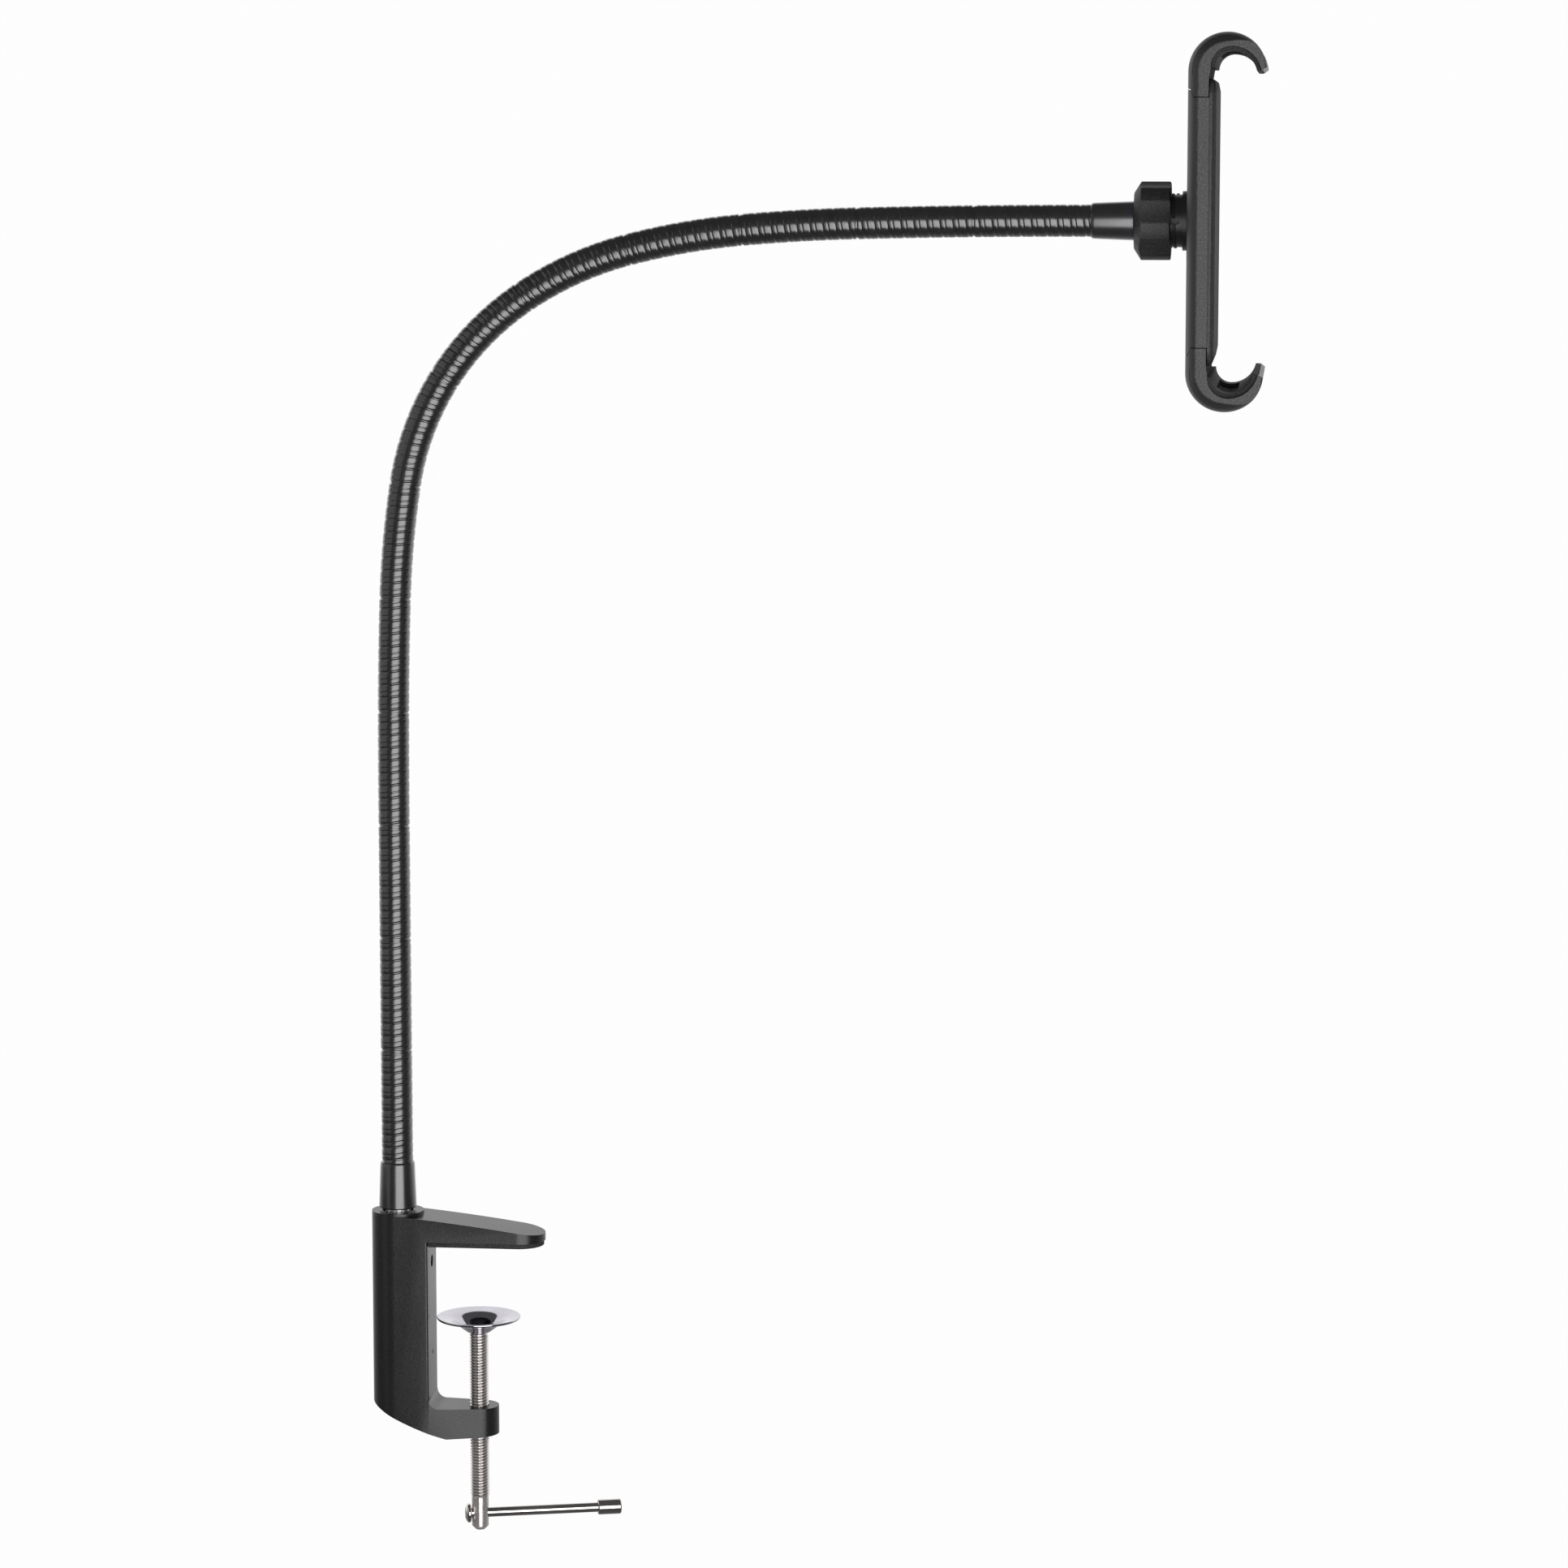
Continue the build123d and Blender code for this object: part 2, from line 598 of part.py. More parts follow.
def turned_at_ball(points, hollow=None):
    """A piece turned about the arm's axis from (distance past the ball's centre, radius) points."""
    face = make_face(Polyline(*points, close=True))
    if hollow is not None:
        face -= hollow
    return Pos(BALL_X, 0, HOLDER_Z) * revolve(Plane.XZ * face, Axis.X)


def ball_pin():
    """Pin fixed in the ferrule, which the ball turns on."""
    start = CORE_SOCKET_DEPTH + SEAT_GAP - UPPER_FERRULE_LENGTH - BALL_FROM_FERRULE
    radius, end = BALL_PIN_DIAMETER / 2, BALL_PIN_PAST_CENTRE
    return turned_at_ball(((start, 0), (start, radius), (end, radius), (end, 0)))


def joint_ball():
    """Ball, flat towards the ferrule and bored for its pin."""
    flat, bore = BALL_FLAT_GAP - BALL_FROM_FERRULE, BALL_PIN_DIAMETER / 2 + SLIDING_FIT
    depth = BALL_PIN_PAST_CENTRE + BALL_FLAT_GAP
    half = Circle(BALL_DIAMETER / 2) & Pos(flat, 0) * Rectangle(
        2 * BALL_DIAMETER, BALL_DIAMETER, align=(Align.MIN, Align.MIN)
    )
    half -= Pos(flat, 0) * Rectangle(depth - flat, 2 * bore, align=(Align.MIN, Align.CENTER))
    return Pos(BALL_X, 0, HOLDER_Z) * revolve(Plane.XZ * half, Axis.X)


def friction_cup():
    """Thin plastic cup between the ball and the bottom of its socket."""
    inner = BALL_DIAMETER / 2 + SLIDING_FIT
    wall = Circle(inner + CUP_WALL) - Circle(inner)
    wall &= Pos(CUP_START, 0) * Rectangle(BALL_DIAMETER, BALL_DIAMETER, align=(Align.MIN, Align.MIN))
    return Pos(BALL_X, 0, HOLDER_Z) * revolve(Plane.XZ * wall, Axis.X)


def ball_socket():
    """Split threaded socket on a flange: its fingers close round the ball when the nut is tightened."""
    outer, flange = SOCKET_DIAMETER / 2, FLANGE_DIAMETER / 2
    flange_start = BALL_TO_HOLDER - FLANGE_THICKNESS
    ball_seat = BALL_DIAMETER / 2 + SLIDING_FIT
    cup_seat = ball_seat + CUP_WALL + SLIDING_FIT
    behind = Rectangle(BALL_DIAMETER, 2 * BALL_DIAMETER, align=(Align.MIN, Align.CENTER))
    body = turned_at_ball(
        (
            (-SOCKET_LIP, 0),
            (-SOCKET_LIP, outer - SOCKET_CHAMFER),
            (-SOCKET_LIP + SOCKET_CHAMFER, outer),
            (flange_start, outer),
            (flange_start, flange),
            (BALL_TO_HOLDER, flange),
            (BALL_TO_HOLDER, 0),
        ),
        hollow=Circle(ball_seat) + (Circle(cup_seat) & (Pos(SOCKET_STEP, 0) * behind)),
    )
    slot_end = flange_start - SLOT_TO_FLANGE
    straight = slot_end + SOCKET_LIP - SOCKET_SLOT_WIDTH / 2
    slot = Pos(-SOCKET_LIP, 0) * Rectangle(straight, SOCKET_SLOT_WIDTH, align=(Align.MIN, Align.CENTER))
    slot += Pos(slot_end - SOCKET_SLOT_WIDTH / 2, 0) * Circle(SOCKET_SLOT_WIDTH / 2)
    cutter = extrude(Pos(0, 0, BALL_DIAMETER / 2 - SOCKET_SLOT_WIDTH) * slot, amount=SOCKET_DIAMETER)
    for turn in range(SOCKET_SLOT_COUNT):
        body -= Pos(BALL_X, 0, HOLDER_Z) * Rotation(turn * 360 / SOCKET_SLOT_COUNT, 0, 0) * cutter
    return body - socket_screw_shanks(SLIDING_FIT)


def collar_nut():
    """Six-lobed collar nut with a bevelled face and scooped grips."""
    start, bore = -NUT_FROM_BALL, SOCKET_DIAMETER / 2 + SLIDING_FIT
    outer, face, mouth = NUT_DIAMETER / 2, NUT_FACE_DIAMETER / 2, NUT_MOUTH_DIAMETER / 2
    end = start + NUT_LENGTH
    nut = turned_at_ball(
        (
            (start, mouth),
            (start, face),
            (start + NUT_CHAMFER, outer),
            (end - NUT_BACK_CHAMFER, outer),
            (end, outer - NUT_BACK_CHAMFER),
            (end, bore),
            (start + NUT_SHOULDER, bore),
            (start + NUT_SHOULDER, mouth),
        )
    )
    half_chord = outer * math.sin(math.radians(NUT_SCOOP_DEGREES / 2))
    edge_depth = outer - outer * math.cos(math.radians(NUT_SCOOP_DEGREES / 2))
    sag = NUT_SCOOP_DEPTH - edge_depth
    radius = (half_chord**2 + sag**2) / (2 * sag)
    cutter = x_cylinder(radius, BALL_X + start - CUT_MARGIN, BALL_X + end + CUT_MARGIN, HOLDER_Z)
    for lobe in range(NUT_LOBES):
        angle = math.radians(NUT_SCOOP_PHASE_DEGREES + lobe * 360 / NUT_LOBES)
        reach = outer - NUT_SCOOP_DEPTH + radius
        nut -= Pos(0, -reach * math.cos(angle), reach * math.sin(angle)) * cutter
    return nut


# Tablet holder, drawn with x from its back plane and z from the arm's axis

def at_holder(shape):
    """Moves a shape drawn at the holder's own origin to its place."""
    return Pos(HOLDER_X, 0, HOLDER_Z) * shape


def back_section(depth):
    """Section across the holder's back, from its back plane: flat middle, rounded edges, plain sides."""
    half, flat = HOLDER_WIDTH / 2, BACK_FLAT_WIDTH / 2
    upper = [
        SagittaArc((0, flat), (BACK_ROUND_DEPTH, half), BACK_ROUND_SAG),
        Line((BACK_ROUND_DEPTH, half), (depth, half)),
    ]
    lower = [mirror(edge, about=Plane.XZ) for edge in upper]
    return make_face(upper + lower + [Line((0, -flat), (0, flat)), Line((depth, half), (depth, -half))])


def hook_plan(inset):
    """Plan outline of a hook, with wide round corners at its lip."""
    outline = Rectangle(2 * HOOK_RADIUS, HOLDER_WIDTH - 2 * inset, align=(Align.MIN, Align.CENTER))
    return fillet(outline.vertices().sort_by(Axis.X)[-2:], HOOK_CORNER_RADIUS - inset)


def seam_points(end, front):
    """End line of the body or of a hook across its depth, with the stepped lip at the back."""
    return [
        (0, end + SEAM_STEP),
        (SEAM_LIP, end + SEAM_STEP - SEAM_LIP_FALL),
        (SEAM_LIP + SEAM_SLOPE, end),
        (front, end),
    ]


def back_shell():
    """Moulded back shell with a channel for the two slides and a post for their springs."""
    length = 2 * (BODY_HALF_LENGTH + SEAM_STEP)
    shell = extrude(Pos(0, 0, -length / 2) * back_section(BODY_DEPTH), amount=length)
    ends = seam_points(BODY_HALF_LENGTH, BODY_DEPTH)
    side = side_face(Polyline(*ends, *[(x, -z) for x, z in reversed(ends)], close=True))
    shell &= across(side, HOLDER_WIDTH)
    shell -= Pos(BODY_WALL, 0, 0) * Box(
        BODY_DEPTH, CHANNEL_WIDTH, 2 * length, align=(Align.MIN, Align.CENTER, Align.CENTER)
    )
    post = x_cylinder(SPRING_POST_DIAMETER / 2, BODY_WALL, BODY_DEPTH - SLIDING_FIT, 0)
    shell = at_holder(shell + post)
    return shell - socket_screw_shanks(SLIDING_FIT) - body_screw_shanks(SLIDING_FIT)


def rounded_plate(half_length, width, radius, start, thickness):
    """A flat plate with rounded corners, standing in the holder's front."""
    face = Plane.YZ.offset(start) * RectangleRounded(width, 2 * half_length, radius)
    return extrude(face, amount=thickness)


def front_cover():
    """Front cover that closes the channel, guides the slides with two rails and overlaps the hooks' stems."""
    cover = rounded_plate(COVER_HALF_LENGTH, COVER_WIDTH, COVER_CORNER_RADIUS, BODY_DEPTH, COVER_THICKNESS)
    rim = cover.faces().sort_by(Axis.X)[-1].outer_wire().edges()
    cover = chamfer(rim, COVER_EDGE_BEVEL)
    start = slide_x() + SLIDE_THICKNESS + SLIDE_CLEARANCE
    middle = (Align.MIN, Align.CENTER, Align.CENTER)
    rail = Box(BODY_DEPTH - start, COVER_RAIL_WIDTH, 2 * COVER_RAIL_END, align=middle)
    for y in (-COVER_RAIL_SPACING / 2, COVER_RAIL_SPACING / 2):
        cover += Pos(start, y, 0) * rail
    cover = at_holder(cover)
    return cover - body_screw_heads(SLIDING_FIT) - body_screw_shanks(SLIDING_FIT)


def face_pad():
    """Soft sheet on the cover, thinning at both ends, which the tablet's back rests on."""
    back, half = BODY_DEPTH + COVER_THICKNESS, COVER_HALF_LENGTH - FACE_PAD_INSET
    front, thin = back + FACE_PAD_THICKNESS, back + FACE_PAD_END_THICKNESS
    width = COVER_WIDTH - 2 * FACE_PAD_INSET
    pad = rounded_plate(half, width, COVER_CORNER_RADIUS - FACE_PAD_INSET, back, FACE_PAD_THICKNESS)
    side = side_face(
        Polyline(
            (back, -half),
            (thin, -half),
            (front, FACE_PAD_TAPER - half),
            (front, half - FACE_PAD_TAPER),
            (thin, half),
            (back, half),
            close=True,
        )
    )
    return at_holder(pad & across(side, width))


def body_screw_places():
    """Centres of the four screws that hold the cover to the shell."""
    for y in (-BODY_SCREW_SPACING_Y / 2, BODY_SCREW_SPACING_Y / 2):
        for z in (-BODY_SCREW_SPACING_Z / 2, BODY_SCREW_SPACING_Z / 2):
            yield y, z


def body_screw_shanks(clearance):
    """Shanks of the four cover screws, or their bores."""
    end = BODY_DEPTH + COVER_THICKNESS - BODY_SCREW_HEAD_DEPTH
    radius = BODY_SCREW_DIAMETER / 2 + clearance
    shank = at_holder(x_cylinder(radius, end - BODY_SCREW_LENGTH - clearance, end, 0))
    return [Pos(0, y, z) * shank for y, z in body_screw_places()]


def body_screw_heads(clearance):
    """Sunk heads of the four cover screws, or their seats."""
    top = BODY_DEPTH + COVER_THICKNESS - (0 if clearance else SEAT_GAP)
    seat = BODY_DEPTH + COVER_THICKNESS - BODY_SCREW_HEAD_DEPTH
    head = at_holder(x_cylinder(BODY_SCREW_HEAD_DIAMETER / 2 + clearance, seat, top, 0))
    return [Pos(0, y, z) * head for y, z in body_screw_places()]


def body_screws():
    """The four cover screws."""
    pairs = zip(body_screw_shanks(0), body_screw_heads(0))
    return Compound(children=[shank + head for shank, head in pairs])


def socket_screw_shanks(clearance):
    """Shanks of the screws that hold the socket's flange to the shell, or their bores."""
    end = BODY_WALL
    radius = SOCKET_SCREW_DIAMETER / 2 + clearance
    shank = at_holder(x_cylinder(radius, end - SOCKET_SCREW_LENGTH - clearance, end, 0))
    return [Pos(0, y, z) * shank for y, z in socket_screw_places()]


def socket_screw_places():
    """Centres of the screws on the flange's circle, clear of the slots."""
    for index in range(SOCKET_SCREW_COUNT):
        angle = index * 2 * math.pi / SOCKET_SCREW_COUNT
        yield SOCKET_SCREW_CIRCLE / 2 * math.cos(angle), SOCKET_SCREW_CIRCLE / 2 * math.sin(angle)


def socket_screws():
    """The screws that hold the socket's flange, heads inside the shell."""
    head = at_holder(
        x_cylinder(SOCKET_SCREW_HEAD_DIAMETER / 2, BODY_WALL, BODY_WALL + SOCKET_SCREW_HEAD_THICKNESS, 0)
    )
    pairs = zip(socket_screw_shanks(0), socket_screw_places())
    return Compound(children=[shank + Pos(0, y, z) * head for shank, (y, z) in pairs])


def bow_curves(offset, lip_z):
    """Back and front arcs of the hook's inner bow, drawn from the heel to the lip."""
    back_radius, front_radius = BOW_BACK_RADIUS - offset, BOW_FRONT_RADIUS - offset
    back_z, front_z = BOW_TOP - BOW_BACK_RADIUS, BOW_TOP - BOW_FRONT_RADIUS
    lip_angle = math.degrees(math.asin((lip_z - front_z) / front_radius))
    back = CenterArc((BOW_X, back_z), back_radius, start_angle=180, arc_size=-90)
    front = CenterArc((BOW_X, front_z), front_radius, start_angle=90, arc_size=lip_angle - 90)
    return back, front


def hook_shell():
    """Upper hook: stem in line with the body, round bow and a narrower, bevelled lip."""
    start = BODY_HALF_LENGTH + SEAM_GAP
    front = BODY_DEPTH - HOOK_FRONT_GAP
    lip_z = HOOK_CENTRE_HEIGHT + HOOK_LIP_RISE
    lip = (HOOK_RADIUS + math.sqrt(HOOK_RADIUS**2 - HOOK_LIP_RISE**2), lip_z)
    back, bow = bow_curves(0, lip_z - HOOK_LIP_BEVEL)
    side = side_face(
        Line((0, start + SEAM_STEP), (0, HOOK_CENTRE_HEIGHT)),
        ThreePointArc((0, HOOK_CENTRE_HEIGHT), (HOOK_RADIUS, HOOK_CENTRE_HEIGHT + HOOK_RADIUS), lip),
        Line(lip, bow @ 1),
        bow,
        back,
        Line(back @ 0, (front, BOW_TOP - BOW_FRONT_RADIUS)),
        Line((front, BOW_TOP - BOW_FRONT_RADIUS), (front, start)),
        Polyline(*reversed(seam_points(start, front))),
    )
    section = back_section(HOOK_RADIUS)
    axis = Axis((HOOK_RADIUS, 0, HOOK_CENTRE_HEIGHT), (0, 1, 0))
    envelope = extrude(section, amount=HOOK_CENTRE_HEIGHT)
    envelope += revolve(Pos(0, 0, HOOK_CENTRE_HEIGHT) * section, axis)
    hook = across(side, HOLDER_WIDTH) & envelope
    hook &= extrude(hook_plan(0), amount=HOOK_CENTRE_HEIGHT + 2 * HOOK_RADIUS)
    return hook - slide_block(SEAT_GAP / 2)


def slide_block(clearance):
    """Outer part of the slide, inside the hook's stem, or the pocket for it."""
    start = BODY_HALF_LENGTH - SLIDE_IN_HOOK
    width = CHANNEL_WIDTH - 2 * SLIDE_CLEARANCE + 2 * clearance
    depth = SLIDE_THICKNESS + 2 * clearance
    height = 2 * SLIDE_IN_HOOK + clearance
    return Pos(slide_x() - clearance, 0, start) * Box(
        depth, width, height, align=(Align.MIN, Align.CENTER, Align.MIN)
    )


def slide_x():
    """Near face of the slides inside the channel."""
    return BODY_WALL + SLIDE_CLEARANCE


def jaw_slide():
    """Upper slide: a forked plate whose legs run either side of the spring."""
    length = BODY_HALF_LENGTH + SLIDE_IN_HOOK - SLIDE_INNER_END
    low = (Align.MIN, Align.CENTER, Align.MIN)
    plate = Box(SLIDE_THICKNESS, CHANNEL_WIDTH - 2 * SLIDE_CLEARANCE, length, align=low)
    lane = spring_end() - SLIDE_INNER_END
    plate -= Box(BODY_DEPTH, SPRING_LANE, lane, align=low)
    return Pos(slide_x(), 0, SLIDE_INNER_END) * plate


def spring_end():
    """Height where the spring hooks on the slide's bridge."""
    return BODY_HALF_LENGTH - SLIDE_BRIDGE


def jaw_spring():
    """Upper tension spring, a tube of the coil's outer and inner diameter."""
    start = SPRING_POST_DIAMETER / 2 + SEAT_GAP
    outer, inner = SPRING_DIAMETER / 2, SPRING_DIAMETER / 2 - SPRING_WIRE
    length = spring_end() - SEAT_GAP - start
    tube = Cylinder(outer, length, align=(Align.CENTER, Align.CENTER, Align.MIN))
    tube -= Cylinder(inner, length, align=(Align.CENTER, Align.CENTER, Align.MIN))
    return Pos((BODY_WALL + BODY_DEPTH) / 2, 0, start) * tube


def hook_liner():
    """Rubber liner of the upper hook, with a window in its bow."""
    lip_z = HOOK_CENTRE_HEIGHT + HOOK_LIP_RISE - HOOK_LIP_BEVEL
    outer_back, outer_front = bow_curves(LINER_GAP, lip_z)
    inner_back, inner_front = bow_curves(LINER_THICKNESS, lip_z)
    side = side_face(
        outer_back,
        outer_front,
        Line(outer_front @ 1, inner_front @ 1),
        inner_front,
        inner_back,
        Line(inner_back @ 0, outer_back @ 0),
    )
    liner = across(side, HOLDER_WIDTH)
    liner &= extrude(hook_plan(LINER_INSET), amount=HOOK_CENTRE_HEIGHT + 2 * HOOK_RADIUS)
    window = LINER_WINDOW_END - LINER_WINDOW_START
    return liner - Pos(LINER_WINDOW_START, 0, BOW_TOP - BOW_BACK_RADIUS) * Box(
        window, LINER_WINDOW_WIDTH, HOOK_RADIUS, align=(Align.MIN, Align.CENTER, Align.MIN)
    )


def main():
    """Build every piece and write one file for each."""
    os.makedirs("parts", exist_ok=True)
    export("clamp_frame", clamp_frame())
    export("jaw_pad", jaw_pad())
    export("arm_stud", arm_stud())
    export("lock_screw", lock_screw())
    export("pressure_dish", pressure_dish())
    export("clamp_screw", clamp_screw())
    export("tommy_bar", tommy_bar())
    export("bar_cap", bar_cap())
    export("lower_ferrule", lower_ferrule())
    export("upper_ferrule", upper_ferrule())
    for index in range(SECTION_COUNT):
        export(f"arm_sleeve_{index + 1:02d}", arm_sleeve(index))
        export(f"arm_core_{index + 1:02d}", arm_core(index))
    export("ball_pin", ball_pin())
    export("joint_ball", joint_ball())
    export("friction_cup", friction_cup())
    export("ball_socket", ball_socket())
    export("collar_nut", collar_nut())
    export("back_shell", back_shell())
    export("front_cover", front_cover())
    export("face_pad", face_pad())
    export("body_screws", body_screws())
    export("socket_screws", socket_screws())
    for side, flip in (("upper", False), ("lower", True)):
        for name, shape in (
            ("hook", hook_shell()),
            ("slide", jaw_slide()),
            ("spring", jaw_spring()),
            ("liner", hook_liner()),
        ):
            placed = at_holder(mirror(shape, about=Plane.XY) if flip else shape)
            export(f"{side}_{name}", placed)


main()
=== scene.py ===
import bmesh
import bpy
import json
import math
from bpy.props import FloatProperty, FloatVectorProperty, IntProperty, PointerProperty
from mathutils import Matrix, Vector


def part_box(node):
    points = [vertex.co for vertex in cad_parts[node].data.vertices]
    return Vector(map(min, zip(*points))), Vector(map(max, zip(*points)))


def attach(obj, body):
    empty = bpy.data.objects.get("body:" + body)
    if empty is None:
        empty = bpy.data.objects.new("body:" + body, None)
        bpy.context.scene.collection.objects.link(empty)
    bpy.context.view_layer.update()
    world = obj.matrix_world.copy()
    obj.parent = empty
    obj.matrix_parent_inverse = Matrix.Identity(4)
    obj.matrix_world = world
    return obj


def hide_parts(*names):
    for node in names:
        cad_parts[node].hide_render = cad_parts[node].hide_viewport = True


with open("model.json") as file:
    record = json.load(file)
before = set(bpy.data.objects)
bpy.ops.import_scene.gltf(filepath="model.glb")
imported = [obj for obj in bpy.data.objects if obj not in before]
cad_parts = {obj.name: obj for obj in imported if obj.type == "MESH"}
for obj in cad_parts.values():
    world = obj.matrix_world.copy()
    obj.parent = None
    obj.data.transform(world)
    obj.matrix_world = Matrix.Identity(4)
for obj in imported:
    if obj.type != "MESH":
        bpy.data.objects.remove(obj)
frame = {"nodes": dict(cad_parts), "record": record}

bl_info = {
    "name": "Tablet desk mount",
    "version": (1, 0, 0),
    "blender": (4, 5, 0),
    "location": "View3D > Sidebar > Desk mount",
    "description": "Dresses the packed tablet desk mount with its ribbed arm, threads and finishes",
    "category": "Object",
}

# The arm's centreline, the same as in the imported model: where it starts, and its equal sections
ARM_FOOT = Vector((-0.0335, 0.0, 0.0341))
SECTION_LENGTH = 0.04675
SECTION_TURNS_DEGREES = (0, 0, 0, 0.6, 1.6, 6.9, 23.9, 23.4, 19.0, 9.4, 3.7, 0.8, 0.7)
SECTION_COUNT = len(SECTION_TURNS_DEGREES)

# The hooks: the bow seen from the side, the solid's wide corner at its lip and the tight one of the moulding, and the
# wall and rim round the bow's hollow, which is painted dark as shade
HOOK_RADIUS = 0.0152
HOOK_CORNER = 0.018
HOOK_LIP_CORNER = 0.0015
LEAST_CORNER = 0.0008
HOOK_WALL = 0.0016
HOOK_RIM = 0.0022

# Where the grained side faces of the holder begin, beside its middle plane, and a side plane that nothing reaches
SIDE_PLANE = 0.0496
NO_SIDE_PLANE = 1.0

# The clamping screw: its neck, its riveted spigot, the thread between them, and the radius inside which the thread's
# roots are painted dark as shade, with how fast that painted shade fades outwards
SCREW_NECK = 0.014
SCREW_SPIGOT = 0.0021
THREAD_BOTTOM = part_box("clamp_screw")[0].z + SCREW_NECK
THREAD_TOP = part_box("clamp_screw")[1].z - SCREW_SPIGOT
THREAD_SHADE_RADIUS = 0.0033
THREAD_SHADE_FADE = 2800.0

# The stage: the middle of the view, the floor, the backdrop behind it and the lights as (offset, width, height)
VIEW_MIDDLE = Vector((0.16, 0.0, 0.22))
FLOOR_HEIGHT = -0.32
FLOOR_HALF_WIDTH = 7.0
FLOOR_FRONT = -4.7
FLOOR_SEAM = -0.7
BACKDROP_PLACE = 3.0
BACKDROP_HEIGHT = 3.4
BACKDROP_ROUND = 1.2
FRONT_LIGHT = (Vector((0.69, -2.14, -0.30)), 2.08, 2.1)
LEFT_LIGHT = (Vector((-2.1, -0.75, 0.35)), 2.4, 2.6)

# How bright the ground is in gloss, as (share of the depth, level), with where the depth starts and how fast it grows
GROUND_GLOSS = ((0.0, 0.04), (0.3, 0.10), (0.65, 0.5), (1.0, 1.0))
GROUND_DEPTH_START = 0.3
GROUND_DEPTH_SLOPE = 0.44
WHITE = (1.0, 1.0, 1.0)


# Sizes and colours that a user would change

def length(name, description, default):
    return FloatProperty(name=name, description=description, default=default, min=0.0, unit="LENGTH", precision=5)


def colour(name, description, default):
    return FloatVectorProperty(
        name=name, description=description, default=default, size=3, min=0.0, max=1.0, subtype="COLOR"
    )


class ArmSizes(bpy.types.PropertyGroup):
    """Sizes of the ribbed sleeve on the arm"""

    radius: length("Sleeve radius", "Radius of the sleeve over its bands", 0.0065)
    pitch: length("Rib pitch", "Distance along the arm between two turns of the rib", 0.0052)
    groove: length("Groove depth", "Depth of the grooves beside each band", 0.00026)
    bore: length("Sleeve bore", "Radius of the sleeve's bore round the wound core", 0.005)
    sides: IntProperty(name="Sides", description="Faces around the sleeve", default=64, min=16)
    rows: IntProperty(name="Rows per pitch", description="Faces along one turn of the rib", default=30, min=8)


class ThreadSizes(bpy.types.PropertyGroup):
    """Sizes of the threads on the clamping screw and on the socket"""

    screw_radius: length("Screw radius", "Radius over the clamping screw's thread", 0.004)
    screw_pitch: length("Screw pitch", "Pitch of the clamping screw's thread", 0.00125)
    screw_depth: length("Screw thread depth", "Depth of the clamping screw's thread", 0.00068)
    socket_radius: length("Socket radius", "Radius over the socket's thread", 0.011)
    socket_pitch: length("Socket pitch", "Pitch of the socket's thread", 0.0019)
    socket_ridge: length("Socket ridge", "Width of the rounded ridge of the socket's thread", 0.00125)


class FinishColours(bpy.types.PropertyGroup):
    """Colours of the finishes"""

    casting: colour("Casting", "Satin paint on the clamp", (0.009, 0.009, 0.010))
    sleeve: colour("Sleeve", "Glossy sleeve and ferrules of the arm", (0.009, 0.009, 0.010))
    ferrule_end: colour("Ferrule end", "Tint of the upper ferrule beside the nut", (0.020, 0.014, 0.034))
    plastic: colour("Moulded plastic", "Textured plastic of the holder and nut", (0.040, 0.040, 0.041))
    rubber: colour("Rubber", "Liners and pads", (0.011, 0.011, 0.012))
    chrome: colour("Chrome", "Polished dish", (0.60, 0.58, 0.64))
    nickel: colour("Nickel", "Tommy bar", (0.66, 0.63, 0.61))
    thread: colour("Thread", "Bright crests of the clamping screw", (0.84, 0.79, 0.78))
    collar: colour("Collar", "Zinc on the stud's collar", (0.86, 0.86, 0.87))
    ball: colour("Ball", "Acetal of the joint ball", (0.004, 0.004, 0.004))
    dark_steel: colour("Dark steel", "Lock screw", (0.10, 0.10, 0.11))
    wound_steel: colour("Wound steel", "Core of the arm", (0.42, 0.42, 0.43))


class StageSettings(bpy.types.PropertyGroup):
    """Camera and light"""

    camera_place: FloatVectorProperty(
        name="Camera place",
        description="Where the camera stands",
        default=(0.33623, -1.98605, 0.45516),
        size=3,
        subtype="TRANSLATION",
        unit="LENGTH",
    )
    pitch: FloatProperty(
        name="Camera pitch", description="How far the camera looks down", default=math.radians(7.46), unit="ROTATION"
    )
    yaw: FloatProperty(
        name="Camera yaw", description="How far the camera is turned", default=math.radians(6.0), unit="ROTATION"
    )
    focal_length: FloatProperty(
        name="Focal length", description="Focal length for a 36 mm wide sensor", default=113.67, unit="CAMERA"
    )
    front_light: FloatProperty(
        name="Front light", description="Power of the soft light behind the camera", default=50.0, unit="POWER"
    )
    side_light: FloatProperty(
        name="Side light", description="Power of the wide dim light on the left", default=7.5, unit="POWER"
    )
    ambient: FloatProperty(name="Ambient", description="Light of the room on matt surfaces", default=0.45)
    reflected: FloatProperty(name="Reflected room", description="Brightness of the room in gloss", default=0.09)


# Shader maths

class Value:
    """A number or a node's output, with arithmetic that adds the nodes for it."""

    def __init__(self, shader, socket):
        self.shader = shader
        self.socket = socket

    def _math(self, operation, *values):
        return self.shader.node("ShaderNodeMath", {"operation": operation}, values)

    def __add__(self, other):
        return self._math("ADD", self, other)

    def __radd__(self, other):
        return self._math("ADD", other, self)

    def __sub__(self, other):
        return self._math("SUBTRACT", self, other)

    def __mul__(self, other):
        return self._math("MULTIPLY", self, other)

    def __rmul__(self, other):
        return self._math("MULTIPLY", other, self)

    def __gt__(self, other):
        return self._math("GREATER_THAN", self, other)

    def __lt__(self, other):
        return self._math("LESS_THAN", self, other)

    def magnitude(self):
        return self._math("ABSOLUTE", self)

    def clamped(self):
        return self.shader.node("ShaderNodeClamp", {}, [self, 0.0, 1.0])


